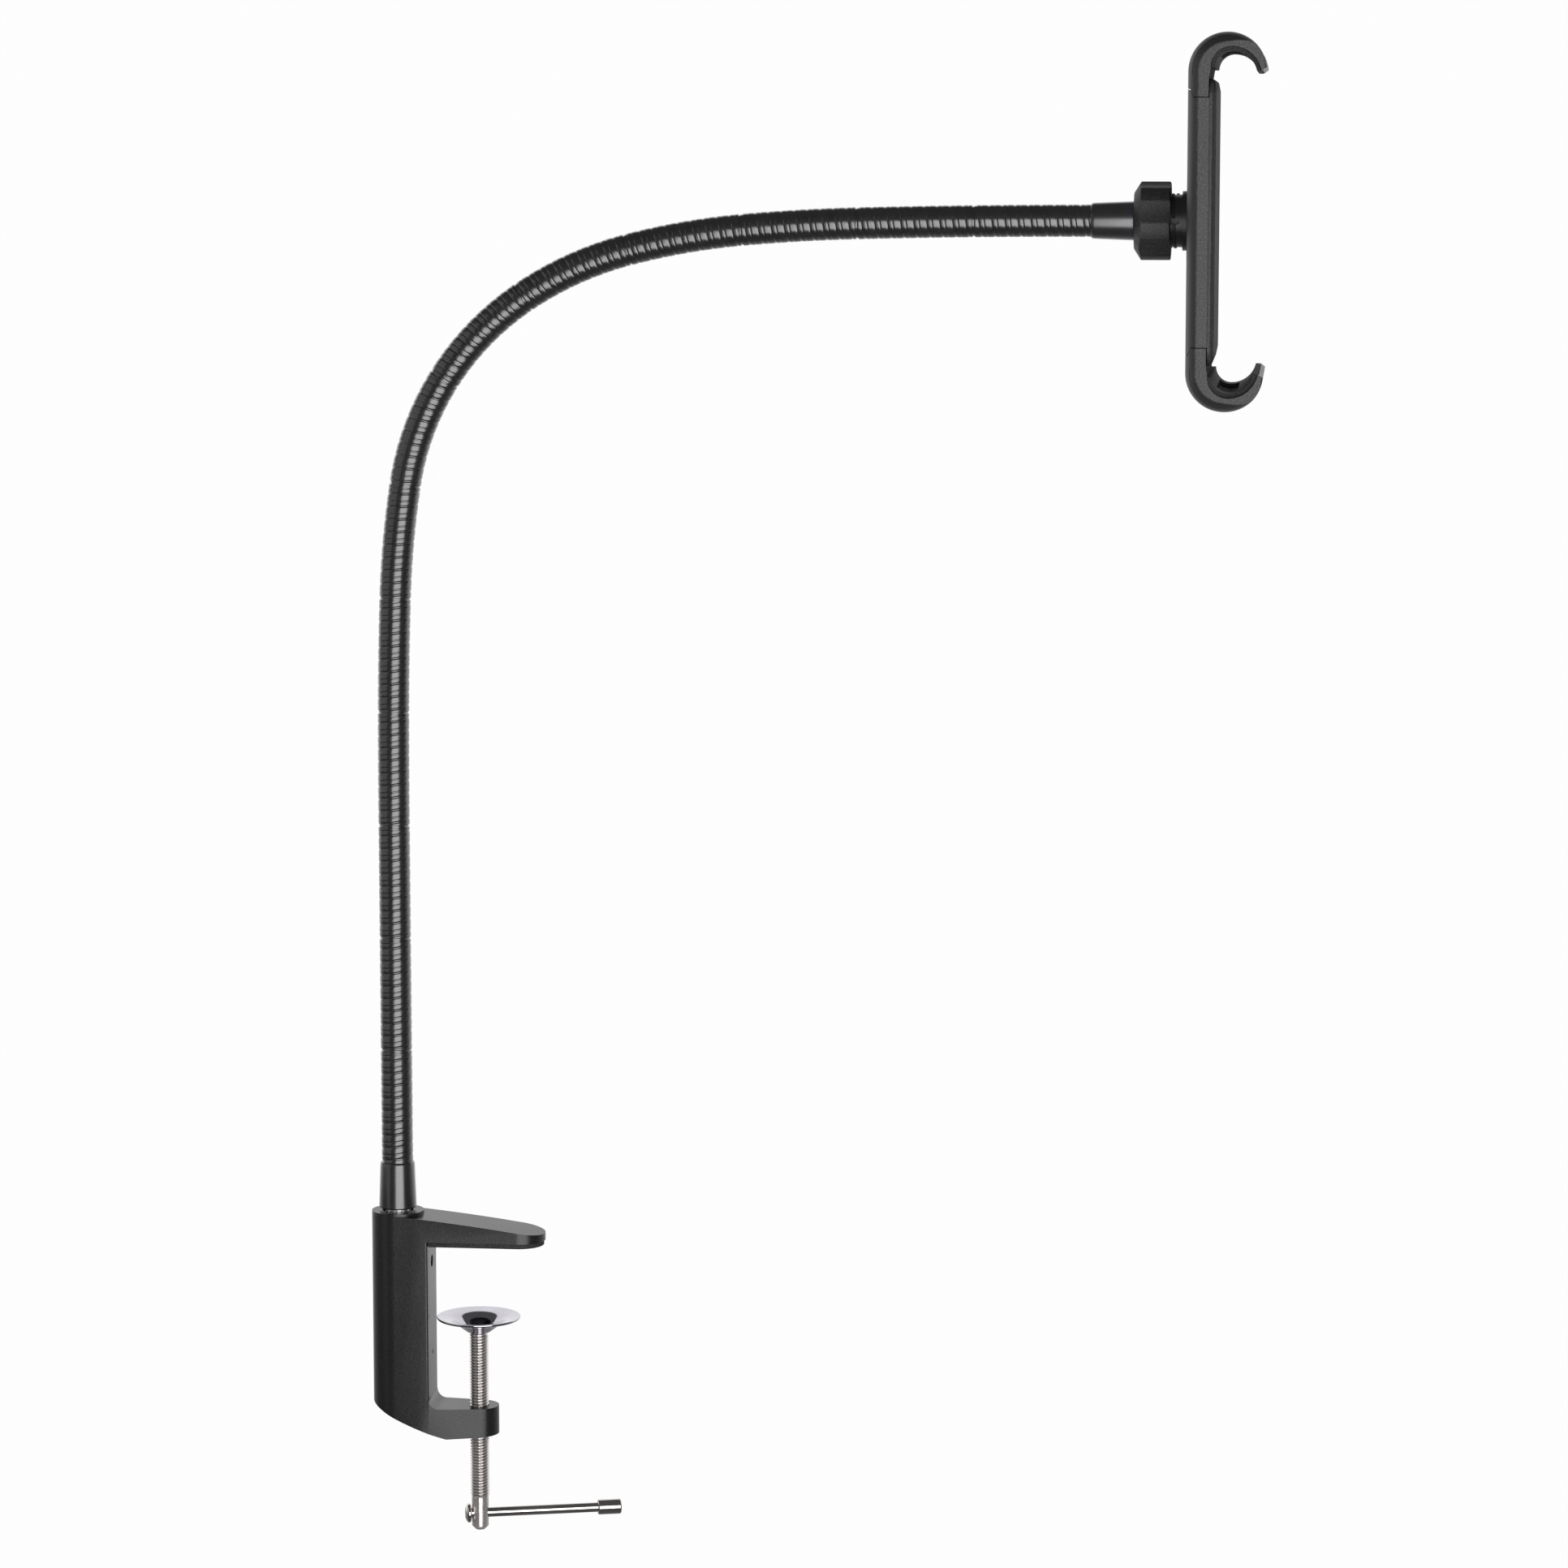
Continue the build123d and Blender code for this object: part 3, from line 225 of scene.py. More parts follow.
class Shader:
    """A material under construction, with its Principled shader and object coordinates."""

    def __init__(self, name, **constants):
        self.material = bpy.data.materials.new(name)
        self.material.use_nodes = True
        self.tree = self.material.node_tree
        self.surface = self.tree.nodes["Principled BSDF"]
        for socket, value in constants.items():
            self.surface.inputs[socket.replace("_", " ")].default_value = value
        self.place = self.node("ShaderNodeTexCoord", {}, [], "Object")

    def node(self, kind, settings, values, output=0):
        """Add a node: its settings first, then a value or a link for each of its sockets."""
        node = self.tree.nodes.new(kind)
        for name, value in settings.items():
            if name == "stops":
                self.set_stops(node.color_ramp, value)
            else:
                setattr(node, name, value)
        pairs = values.items() if isinstance(values, dict) else enumerate(values)
        for key, value in pairs:
            if isinstance(value, Value):
                self.tree.links.new(value.socket, node.inputs[key])
            elif value is not None:
                node.inputs[key].default_value = value
        return Value(self, node.outputs[output])

    @staticmethod
    def set_stops(ramp, stops):
        """Give a colour ramp its stops."""
        while len(ramp.elements) < len(stops):
            ramp.elements.new(0.5)
        for element, (position, shade) in zip(ramp.elements, stops):
            element.position = position
            element.color = shade

    def noise(self, scale, detail=2.0, roughness=0.5):
        """Cloudy noise over the object, its scale in blotches per metre."""
        values = {"Vector": self.place, "Scale": scale, "Detail": detail, "Roughness": roughness}
        return self.node("ShaderNodeTexNoise", {}, values, "Fac")

    def grains(self, scale):
        """Distance to scattered points, for moulded grain."""
        values = {"Vector": self.place, "Scale": scale}
        return self.node("ShaderNodeTexVoronoi", {"feature": "SMOOTH_F1"}, values, "Distance")

    def axis(self, name):
        """One coordinate of the object, in metres."""
        return self.node("ShaderNodeSeparateXYZ", {}, [self.place], name)

    def ramp(self, factor, stops):
        """Colour from a number."""
        return self.node("ShaderNodeValToRGB", {"stops": stops}, [factor], "Color")

    def mixed(self, factor, first, second):
        """Colour between two colours."""
        values = {0: factor, 6: first, 7: second}
        return self.node("ShaderNodeMix", {"data_type": "RGBA"}, values, 2)

    def feed(self, **sockets):
        """Link what changes over the surface to the shader's sockets."""
        for name, value in sockets.items():
            self.tree.links.new(value.socket, self.surface.inputs[name.replace("_", " ")])

    def bump(self, height, distance, strength=1.0):
        """Raise the surface by a height from 0 to 1, over a distance in metres."""
        values = {"Strength": strength, "Distance": distance, "Height": height}
        self.feed(Normal=self.node("ShaderNodeBump", {}, values, "Normal"))


def rgba(shade, factor=1.0):
    """A colour with its alpha, made lighter or darker by a factor."""
    return (*(min(1.0, part * factor) for part in shade), 1.0)


def dimmed(shade, factor):
    """A colour made darker by a factor, without its alpha."""
    return tuple(part * factor for part in shade)


def satin_paint(name, shade):
    """Satin paint on a casting, with slight orange peel and an uneven sheen."""
    shader = Shader(name, Specular_IOR_Level=0.5)
    peel = shader.noise(900.0, detail=3.0)
    cloud = shader.noise(60.0, detail=4.0)
    speck = shader.noise(1700.0, detail=2.0, roughness=0.7)
    shader.feed(
        Base_Color=shader.ramp(speck, [(0.3, rgba(shade, 0.7)), (0.7, rgba(shade, 1.5))]),
        Roughness=0.19 + 0.08 * cloud + 0.08 * speck,
    )
    shader.bump(peel + 0.8 * speck, distance=0.00003, strength=0.6)
    return shader.material


def gloss_vinyl(name, shade):
    """Glossy vinyl skin with a faint haze."""
    shader = Shader(name, IOR=1.6, Specular_IOR_Level=0.6, Coat_Weight=1.0, Coat_Roughness=0.22)
    haze = shader.noise(240.0, detail=3.0)
    speck = shader.noise(3200.0, detail=1.0)
    shader.feed(
        Base_Color=shader.ramp(haze, [(0.3, rgba(shade, 0.85)), (0.75, rgba(shade, 1.35))]),
        Roughness=0.18 + 0.12 * haze,
    )
    shader.bump(speck, distance=0.000014, strength=0.6)
    return shader.material


def ferrule_gloss(name, shade, tint, start, end):
    """Glossy ferrule whose far end is painted with the tinted light that shines through it."""
    shader = Shader(name, IOR=1.6, Specular_IOR_Level=0.7, Coat_Weight=1.0, Coat_Roughness=0.25)
    along = shader.axis("X")
    depth = ((along - start) * (1.0 / (end - start))).clamped()
    haze = shader.noise(300.0, detail=3.0)
    scuffs = shader.noise(1400.0, detail=5.0, roughness=0.7)
    # Painted light: towards the far end the base colour turns to the tint of light shining through the thin plastic
    # there.
    shine_through_tint = [(0.0, rgba(shade)), (0.78, rgba(shade, 1.2)), (0.96, rgba(tint)), (1.0, rgba(tint, 0.6))]
    shader.feed(
        Base_Color=shader.ramp(depth, shine_through_tint),
        Roughness=0.24 + 0.14 * haze + 0.10 * (scuffs > 0.60),
    )
    shader.bump(scuffs, distance=0.000016, strength=0.7)
    return shader.material


def moulded_plastic(name, shade, side=None, bow=None):
    """Plastic with spark-eroded grain; smoother and darker inside a side plane, and dull and painted dark as shade
    inside a hook's bow.
    """
    shader = Shader(name, IOR=1.5, Specular_IOR_Level=0.5)
    fine = shader.noise(1500.0, detail=2.0, roughness=0.65)
    grain = shader.grains(1300.0)
    cloud = shader.noise(35.0, detail=3.0)
    sparkle = shader.ramp(fine, [(0.34, rgba(shade, 0.6)), (0.52, rgba(shade, 1.0)), (0.68, rgba(shade, 1.9))])
    height = fine + 0.5 * grain
    if side is None:
        base, coarse = sparkle, 1.0
    else:
        coarse = shader.axis("Y").magnitude() > side
        plain = shader.ramp(cloud, [(0.3, rgba(shade, 0.38)), (0.7, rgba(shade, 0.52))])
        base = shader.mixed(coarse, plain, sparkle)
        height = height * (0.2 + 0.8 * coarse)
    rough = 0.34 + 0.14 * coarse + 0.10 * cloud
    if bow is not None:
        across, middle, rise, radius = bow
        offset = shader.axis("X") - across
        climb = (shader.axis("Z") - middle).magnitude() - rise
        inside = shader.axis("Y").magnitude() < side - HOOK_RIM
        # Painted shade: inside the bow's hollow the base colour is darkened to a fifth of the plastic's colour, as
        # the shade in the hook's recess; it is made rougher there too.
        hollow = (offset * offset + climb * climb < radius**2) * inside
        rough = rough + 0.5 * hollow
        base = shader.mixed(hollow, base, rgba(shade, 0.2))
    shader.feed(Base_Color=base, Roughness=rough)
    shader.bump(height, distance=0.00009, strength=0.8)
    return shader.material


def soft_rubber(name, shade):
    """Matt rubber with fine tooth and dusty patches."""
    shader = Shader(name, Specular_IOR_Level=0.35)
    tooth = shader.noise(1900.0, detail=3.0, roughness=0.6)
    dust = shader.noise(45.0, detail=4.0, roughness=0.6)
    shader.feed(
        Base_Color=shader.ramp(0.3 * dust + 0.7 * tooth, [(0.38, rgba(shade, 0.5)), (0.66, rgba(shade, 3.2))]),
        Roughness=0.58 + 0.22 * tooth,
    )
    shader.bump(tooth, distance=0.00009, strength=0.9)
    return shader.material


def plated_metal(name, shade, roughness, streaks=0.0, threaded=False):
    """Plated steel: even mirror for chrome, with turning streaks or painted shade in the thread roots where asked."""
    shader = Shader(name, Metallic=0.85 if threaded else 1.0)
    stain = shader.noise(90.0, detail=4.0, roughness=0.6)
    lines = shader.node("ShaderNodeMapping", {}, {"Vector": shader.place, "Scale": (1.0, 1.0, 24.0)}, "Vector")
    streak = shader.node("ShaderNodeTexNoise", {}, {"Vector": lines, "Scale": 420.0, "Detail": 3.0}, "Fac")
    base = shader.ramp(stain, [(0.3, rgba(shade, 0.9)), (0.7, rgba(shade, 1.05))])
    if threaded:
        # Painted shade: within a radius of the axis the thread's roots are darkened in the base colour, as the shade
        # that falls in them; the neck and spigot keep the plain colour.
        flat = shader.node("ShaderNodeMapping", {}, {"Vector": shader.place, "Scale": (1.0, 1.0, 0.0)}, "Vector")
        reach = shader.node("ShaderNodeVectorMath", {"operation": "LENGTH"}, [flat], "Value")
        height = shader.axis("Z")
        crest = ((reach - THREAD_SHADE_RADIUS) * THREAD_SHADE_FADE).clamped()
        smooth = (crest + (height < THREAD_BOTTOM) + (height > THREAD_TOP)).clamped()
        base = shader.mixed(smooth, rgba(shade, 0.32), base)
    shader.feed(Base_Color=base, Roughness=roughness + 0.05 * stain + streaks * streak)
    shader.bump(streak, distance=0.000006, strength=0.35)
    return shader.material


def pale_ground(name, shade):
    """Pale ground: white to the camera, with the object's shadow, and in gloss darker towards the camera."""
    shader = Shader(name, Roughness=0.9)
    shader.surface.inputs["Base Color"].default_value = rgba(shade)
    seen = shader.node("ShaderNodeLightPath", {}, [], "Is Camera Ray")
    gloss = shader.node("ShaderNodeLightPath", {}, [], "Is Glossy Ray")
    through = shader.node("ShaderNodeLightPath", {}, [], "Is Transmission Ray")
    depth = (GROUND_DEPTH_START + GROUND_DEPTH_SLOPE * shader.axis("Y")).clamped()
    fading = shader.ramp(depth, [(share, rgba(WHITE, level)) for share, level in GROUND_GLOSS])
    glow = shader.node("ShaderNodeEmission", {}, [shader.mixed(gloss, rgba(WHITE), fading), 1.0], "Emission")
    factor = (0.97 * seen + gloss + through).clamped()
    plain = Value(shader, shader.surface.outputs["BSDF"])
    both = shader.node("ShaderNodeMixShader", {}, [factor, plain, glow])
    shader.tree.links.new(both.socket, shader.tree.nodes["Material Output"].inputs["Surface"])
    return shader.material


def bow_hollow():
    """Middle and radius of the hollow in the hooks' bows, which the hook's finish paints dark as shade: across, the
    holder's middle, rise and radius.
    """
    low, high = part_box("back_shell")
    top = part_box("upper_hook")[1].z
    middle = (low.z + high.z) / 2
    return low.x + HOOK_RADIUS, middle, top - middle - HOOK_RADIUS, HOOK_RADIUS - HOOK_WALL


FINISHES = {}


def make_finishes(colours):
    """Every finish of the object, by its plain name."""
    low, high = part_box("upper_ferrule")
    FINISHES.update(
        casting=satin_paint("satin_paint_casting", colours.casting),
        sleeve=gloss_vinyl("gloss_vinyl_sleeve", colours.sleeve),
        lower_ferrule=gloss_vinyl("gloss_lower_ferrule", colours.sleeve),
        upper_ferrule=ferrule_gloss("gloss_upper_ferrule", colours.sleeve, colours.ferrule_end, low.x, high.x),
        plastic=moulded_plastic("moulded_plastic_grain", colours.plastic),
        nut=moulded_plastic("moulded_plastic_nut", dimmed(colours.plastic, 0.45)),
        socket=moulded_plastic("moulded_plastic_socket", colours.plastic, NO_SIDE_PLANE),
        shell=moulded_plastic("moulded_plastic_shell", colours.plastic, SIDE_PLANE),
        hook=moulded_plastic("moulded_plastic_hook", colours.plastic, SIDE_PLANE, bow_hollow()),
        cover=moulded_plastic("moulded_plastic_cover", dimmed(colours.plastic, 0.7)),
        rubber=soft_rubber("soft_rubber", colours.rubber),
        chrome=plated_metal("polished_chrome", colours.chrome, roughness=0.08),
        nickel=plated_metal("bright_nickel", colours.nickel, roughness=0.05, streaks=0.06),
        thread=plated_metal("bright_nickel_thread", colours.thread, roughness=0.14, streaks=0.06, threaded=True),
        collar=plated_metal("zinc_collar", colours.collar, roughness=0.32, streaks=0.10),
        ball=gloss_vinyl("black_acetal", colours.ball),
        dark_steel=plated_metal("dark_steel", colours.dark_steel, roughness=0.28, streaks=0.06),
        wound_steel=plated_metal("wound_steel", colours.wound_steel, roughness=0.30, streaks=0.15),
    )


# Making pieces: how near corners merge in a CAD copy, in a turned and in a wrapped surface, how flat a whole face is,
# and the least angle of an edge that is rounded or shaded sharp
COPY_MERGE = 2e-6
LATHE_MERGE = 1e-7
WRAP_MERGE = 1e-6
FLAT_DEGREES = 0.4
SHARP_DEGREES = 35.0

# The skew direction along which a mesh's corners and faces are put in order
ORDER_DIRECTION = Vector((1.0, 0.6180, 0.3713))


def settle_order(bm):
    """Put corners, edges and faces in order by their place, so that every run stores the same mesh."""
    bm.verts.sort(key=lambda vert: vert.co.dot(ORDER_DIRECTION))
    bm.edges.sort(key=lambda edge: (edge.verts[0].co + edge.verts[1].co).dot(ORDER_DIRECTION))
    bm.faces.sort(key=lambda face: face.calc_center_median().dot(ORDER_DIRECTION))


def new_piece(name, body, nodes, finish, bm):
    """Store a bmesh as a piece that rides on a body and stands in for CAD nodes."""
    settle_order(bm)
    mesh = bpy.data.meshes.new(name)
    bm.to_mesh(mesh)
    bm.free()
    piece = bpy.data.objects.new(name, mesh)
    bpy.context.scene.collection.objects.link(piece)
    mesh.materials.append(FINISHES[finish])
    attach(piece, body)
    if nodes:
        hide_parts(*nodes)
    return piece


def soften(piece, width, segments):
    """Round a piece's edges with a small bevel."""
    bevel = piece.modifiers.new("edge_round", "BEVEL")
    bevel.width = width
    bevel.segments = segments
    bevel.limit_method = "ANGLE"
    bevel.angle_limit = math.radians(SHARP_DEGREES)
    bevel.harden_normals = True


def smooth_faces(bm, angle=SHARP_DEGREES):
    """Shade faces smoothly except across edges sharper than an angle."""
    limit = math.radians(angle)
    for face in bm.faces:
        face.smooth = True
    for edge in bm.edges:
        edge.smooth = len(edge.link_faces) != 2 or edge.calc_face_angle(0.0) < limit


def merged_copy(node):
    """A copy of a CAD node's mesh with its corners merged and its flat faces whole."""
    bm = bmesh.new()
    bm.from_mesh(frame["nodes"][node].data)
    bmesh.ops.remove_doubles(bm, verts=bm.verts, dist=COPY_MERGE)
    bmesh.ops.dissolve_limit(
        bm,
        angle_limit=math.radians(FLAT_DEGREES),
        verts=bm.verts,
        edges=bm.edges,
        use_dissolve_boundaries=False,
    )
    return bm


def moulded_copy(node, name, body, finish, width=0.0, segments=2):
    """A smoothed copy of a CAD node, its edges softened where a width is given."""
    bm = merged_copy(node)
    smooth_faces(bm)
    piece = new_piece(name, body, [node], finish, bm)
    if width:
        soften(piece, width, segments)
    return piece


def rounded(corners, steps=6):
    """Profile points through (radius, height, rounding) corners, each rounded over that distance."""
    points = []
    for index, (radius, height, rounding) in enumerate(corners):
        corner = Vector((radius, height))
        if not rounding:
            points.append(corner)
            continue
        before = Vector(corners[index - 1][:2]) - corner
        after = Vector(corners[index + 1][:2]) - corner
        start = corner + before.normalized() * min(rounding, before.length / 2)
        end = corner + after.normalized() * min(rounding, after.length / 2)
        for step in range(steps + 1):
            share = step / steps
            points.append(start * (1 - share) ** 2 + corner * (2 * share * (1 - share)) + end * share**2)
    return points


def faces_on(bm, verts):
    """Faces on these corners."""
    chosen = set(verts)
    return [face for face in bm.faces if face.verts[0] in chosen]


def open_edges_on(bm, verts):
    """Boundary edges on these corners."""
    chosen = set(verts)
    return [edge for edge in bm.edges if edge.is_boundary and edge.verts[0] in chosen]


def lathe(bm, profile, place=Matrix.Identity(4), steps=96):
    """Turn (radius, height) points about Z and move the result to its place."""
    before = set(bm.verts)
    verts = [bm.verts.new((radius, 0.0, height)) for radius, height in profile]
    edges = [bm.edges.new(pair) for pair in zip(verts, verts[1:])]
    bmesh.ops.spin(
        bm,
        geom=verts + edges,
        cent=(0.0, 0.0, 0.0),
        axis=(0.0, 0.0, 1.0),
        dvec=(0.0, 0.0, 0.0),
        angle=math.tau,
        steps=steps,
        use_merge=True,
        use_duplicate=False,
    )
    turned = [vert for vert in bm.verts if vert not in before]
    bmesh.ops.remove_doubles(bm, verts=turned, dist=LATHE_MERGE)
    turned = [vert for vert in bm.verts if vert not in before]
    bmesh.ops.transform(bm, matrix=place, verts=turned)
    bmesh.ops.recalc_face_normals(bm, faces=faces_on(bm, turned))


def wrapped_tube(bm, start, end, sides, rows, point):
    """A tube from a flat grid: point gives the place of each (angle, distance). Gives its corners."""
    before = set(bm.verts)
    bmesh.ops.create_grid(bm, x_segments=sides, y_segments=rows, size=1.0)
    grid = [vert for vert in bm.verts if vert not in before]
    for vert in grid:
        angle = (vert.co.x + 1.0) * math.pi
        distance = start + (vert.co.y + 1.0) / 2.0 * (end - start)
        vert.co = point(angle, distance)
    bmesh.ops.remove_doubles(bm, verts=grid, dist=WRAP_MERGE)
    return [vert for vert in bm.verts if vert not in before]


# The arm's centreline

def tangent(heading):
    """Direction of the centreline at a heading from straight up."""
    return Vector((math.sin(heading), 0.0, math.cos(heading)))


def arm_point(distance):
    """Place and heading of the arm's centreline at a distance from its foot."""
    index = min(max(int(distance // SECTION_LENGTH), 0), SECTION_COUNT - 1)
    place, heading = SECTION_STARTS[index]
    along = distance - index * SECTION_LENGTH
    turn = math.radians(SECTION_TURNS_DEGREES[index]) * along / SECTION_LENGTH
    return place + arc_step(heading, turn, along), heading + turn


def arc_step(heading, turn, along):
    """Chord of an arc of this length that turns by this angle."""
    half = turn / 2.0
    chord = along if abs(half) < 1e-9 else along * math.sin(half) / half
    return tangent(heading + half) * chord


def section_starts():
    """Place and heading at the start of each section."""
    place, heading, starts = ARM_FOOT.copy(), 0.0, []
    for turn in SECTION_TURNS_DEGREES:
        starts.append((place.copy(), heading))
        place = place + arc_step(heading, math.radians(turn), SECTION_LENGTH)
        heading += math.radians(turn)
    return starts


SECTION_STARTS = section_starts()


# The sleeve's grooves in one turn of its rib as (place in the turn, width, share of the depth), and how much the band
# between them is domed
RIB_GROOVES = ((0.55, 0.080, 1.0), (0.975, 0.055, 0.7))
RIB_DOME = 0.3


def rib_radius(sizes, phase):
    """Radius of the sleeve at a phase of its rib: two smooth grooves in a turn, the band between them domed."""
    depth = RIB_DOME * math.cos((phase - RIB_GROOVES[0][0]) * math.pi) ** 2
    for place, width, share in RIB_GROOVES:
        across = (phase - place + 0.5) % 1.0 - 0.5
        depth += share * math.exp(-((across / width) ** 2))
    return sizes.radius - sizes.groove * depth / (1.0 + RIB_DOME)


# The ball-shaped joint between two sections of the sleeve: half its gap, the radius of its ball, socket and bore, the
# reach of the lip and of the mouth past the hinge, and how far and how softly the rib dips at a section's end
JOINT_HALF_GAP = 0.00047
JOINT_BALL = 0.00600
JOINT_SOCKET = 0.00607
JOINT_BORE = 0.00535
JOINT_TIP = 0.0014
JOINT_MOUTH = 0.0023
JOINT_STEPS = 4
JOINT_DIP = 0.00012
JOINT_SOFT = 0.0003
SLEEVE_BORE_ROWS = 12


def ball_arc(hinge, radius, first, last):
    """Outline points on a ball about a hinge, from one offset along the arm to another."""
    offsets = [first + (last - first) * step / JOINT_STEPS for step in range(JOINT_STEPS + 1)]
    return [(hinge + offset, math.sqrt(radius**2 - offset**2), 0.0) for offset in offsets]


class MOUNT_OT_arm_sleeve(bpy.types.Operator):
    """Build the ribbed sleeve: a stiff piece for each section of the arm, with ball-shaped lips between them"""

    bl_idname = "mount.arm_sleeve"
    bl_label = "Arm sleeve"

    def execute(self, context):
        sizes = context.scene.mount_arm
        for index in range(SECTION_COUNT):
            number = f"{index + 1:02d}"
            body = "clamp" if index == 0 else f"arm_{number}"
            bm = self.section(sizes, index)
            new_piece(f"ribbed_sleeve_{number}", body, [f"arm_sleeve_{number}"], "sleeve", bm)
        return {"FINISHED"}

    @staticmethod
    def outline(sizes, index):
        """(distance, radius, dip) round a section's closed outline; no radius where its rib runs."""
        start, end = index * SECTION_LENGTH, (index + 1) * SECTION_LENGTH
        has_mouth, has_lip = index > 0, index < SECTION_COUNT - 1
        low = start + has_mouth * JOINT_HALF_GAP
        high = end - has_lip * JOINT_HALF_GAP
        rows = round((high - low) / sizes.pitch * sizes.rows)
        points = []
        for row in range(rows + 1):
            distance = low + (high - low) * row / rows
            dip = has_mouth * math.exp(-(((distance - low) / JOINT_SOFT) ** 2))
            dip += has_lip * math.exp(-(((high - distance) / JOINT_SOFT) ** 2))
            points.append((distance, None, JOINT_DIP * dip))
        if has_lip:
            points += ball_arc(end, JOINT_BALL, -JOINT_HALF_GAP, JOINT_TIP)
            points += [(end + JOINT_TIP, JOINT_BORE, 0.0), (end - JOINT_TIP, JOINT_BORE, 0.0)]
        top, foot = points[-1][0], start + has_mouth * JOINT_MOUTH
        for row in range(SLEEVE_BORE_ROWS + 1):
            points.append((top + (foot - top) * row / SLEEVE_BORE_ROWS, sizes.bore, 0.0))
        if has_mouth:
            points += ball_arc(start, JOINT_SOCKET, JOINT_MOUTH, JOINT_HALF_GAP)
        return points + points[:1]

    @staticmethod
    def section(sizes, index):
        """One closed section of the sleeve: its rib wound round outside, a plain bore inside, a lip and a mouth."""
        points = MOUNT_OT_arm_sleeve.outline(sizes, index)

        def place(angle, position):
            distance, radius, dip = points[round(position)]
            if radius is None:
                radius = rib_radius(sizes, distance / sizes.pitch - angle / math.tau) - dip
            centre, heading = arm_point(distance)
            side = Vector((math.cos(heading), 0.0, -math.sin(heading)))
            return centre + side * (math.cos(angle) * radius) + Vector((0.0, math.sin(angle) * radius, 0.0))

        bm = bmesh.new()
        wrapped_tube(bm, 0.0, len(points) - 1.0, sizes.sides, len(points) - 1, place)
        bmesh.ops.recalc_face_normals(bm, faces=bm.faces)
        smooth_faces(bm, 60.0)
        return bm


# The clamping screw's thread: rows in a pitch, faces around it, the flat share of a crest, how far it runs into the
# neck and where the solid's neck is cut off for it
THREAD_ROWS = 12
THREAD_SIDES = 64
THREAD_FLAT = 0.2
THREAD_OVERLAP = 0.0003
NECK_CUT = 0.0002


def screw_thread(bm, radius, pitch, depth, start, end):
    """A threaded length about Z: 60 degree ridges with a flat crest."""
    def point(angle, distance):
        phase = (distance / pitch - angle / math.tau) % 1.0
        climb = (abs(2.0 * phase - 1.0) - THREAD_FLAT) / (1.0 - 2.0 * THREAD_FLAT)
        ridge = min(1.0, max(0.0, climb))
        fade = min(1.0, (distance - start) / pitch, (end - distance) / pitch)
        reach = radius - depth * max(ridge, 1.0 - max(0.0, fade))
        return Vector((math.cos(angle) * reach, math.sin(angle) * reach, distance))

    rows = round((end - start) / pitch * THREAD_ROWS)
    tube = wrapped_tube(bm, start, end, THREAD_SIDES, rows, point)
    bmesh.ops.holes_fill(bm, edges=open_edges_on(bm, tube), sides=0)


# The socket's rounded thread: how far its ridge stands off the socket, half a slot, the fingers between the slots,
# the thread's room in the nut, its distance from the socket's two ends, and the steps, sides and fullness of a ridge
SOCKET_RIDGE_RISE = 0.00055
SOCKET_SLOT_HALF = 0.00138
SOCKET_FINGERS = 4
SOCKET_CLEARANCE = 0.0001
SOCKET_THREAD_START = 0.0022
SOCKET_THREAD_END = 0.0044
RIDGE_STEPS = 14
RIDGE_SIDES = 8
RIDGE_FULLNESS = 0.7

# The clamping screw's spigot and rivet, and the dish on them
SPIGOT_RADIUS = 0.0023
SPIGOT_OVERLAP = 0.001
RIVET_RADIUS = 0.0028
RIVET_HEIGHT = 0.0009
RIVET_TAPER = 0.0004
DISH_HOLE = SPIGOT_RADIUS + 0.00005
DISH_SHEET = 0.0011
DISH_FLOOR = 0.0056
DISH_CUP = 0.0078
DISH_BEND = 0.0112
DISH_BEND_DEPTH = 0.0010
DISH_FOOT = 0.0046
DISH_SHOULDER = 0.0092
DISH_SLOPE = 0.0030

# The two ferrules of the arm
FERRULE_LARGE = 0.0078
FERRULE_SMALL = 0.00715
FERRULE_MOUTH_ROUND = 0.0008
FERRULE_SHOULDER = 0.0006
CORE_BORE = 0.00485
CORE_SEAT = 0.007
STUD_BORE = 0.00405
PIN_BORE = 0.00305


def ferrule(length, bore, place):
    """Tapered ferrule, large end down, bored for its pin and for the arm's core."""
    bm = bmesh.new()
    outline = rounded(
        [
            (bore, 0.0, 0.0),
            (FERRULE_LARGE, 0.0, FERRULE_MOUTH_ROUND),
            (FERRULE_SMALL, length - FERRULE_SHOULDER, 2 * FERRULE_SHOULDER),
            (FERRULE_SMALL - FERRULE_SHOULDER, length, FERRULE_SHOULDER / 2),
            (CORE_BORE, length, 0.0),
            (CORE_BORE, length - CORE_SEAT, 0.0),
            (bore, length - CORE_SEAT, 0.0),
            (bore, 0.0, 0.0),
        ]
    )
    lathe(bm, outline, place)
    smooth_faces(bm)
    return bm


class MOUNT_OT_clamp(bpy.types.Operator):
    """Build the cast clamp with its pad, stud and lock screw"""

    bl_idname = "mount.clamp"
    bl_label = "Clamp"

    def execute(self, context):
        moulded_copy("clamp_frame", "clamp_casting", "clamp", "casting", width=0.0007, segments=3)
        moulded_copy("jaw_pad", "tongue_pad", "clamp", "rubber", width=0.0003)
        moulded_copy("arm_stud", "stud_collar", "clamp", "collar", width=0.0002)
        moulded_copy("lock_screw", "stud_lock_screw", "clamp", "dark_steel", width=0.0002)
        low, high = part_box("lower_ferrule")
        place = Matrix.Translation(((low.x + high.x) / 2, 0.0, low.z))
        bm = ferrule(high.z - low.z, STUD_BORE, place)
        new_piece("foot_ferrule", "clamp", ["lower_ferrule"], "lower_ferrule", bm)
        return {"FINISHED"}


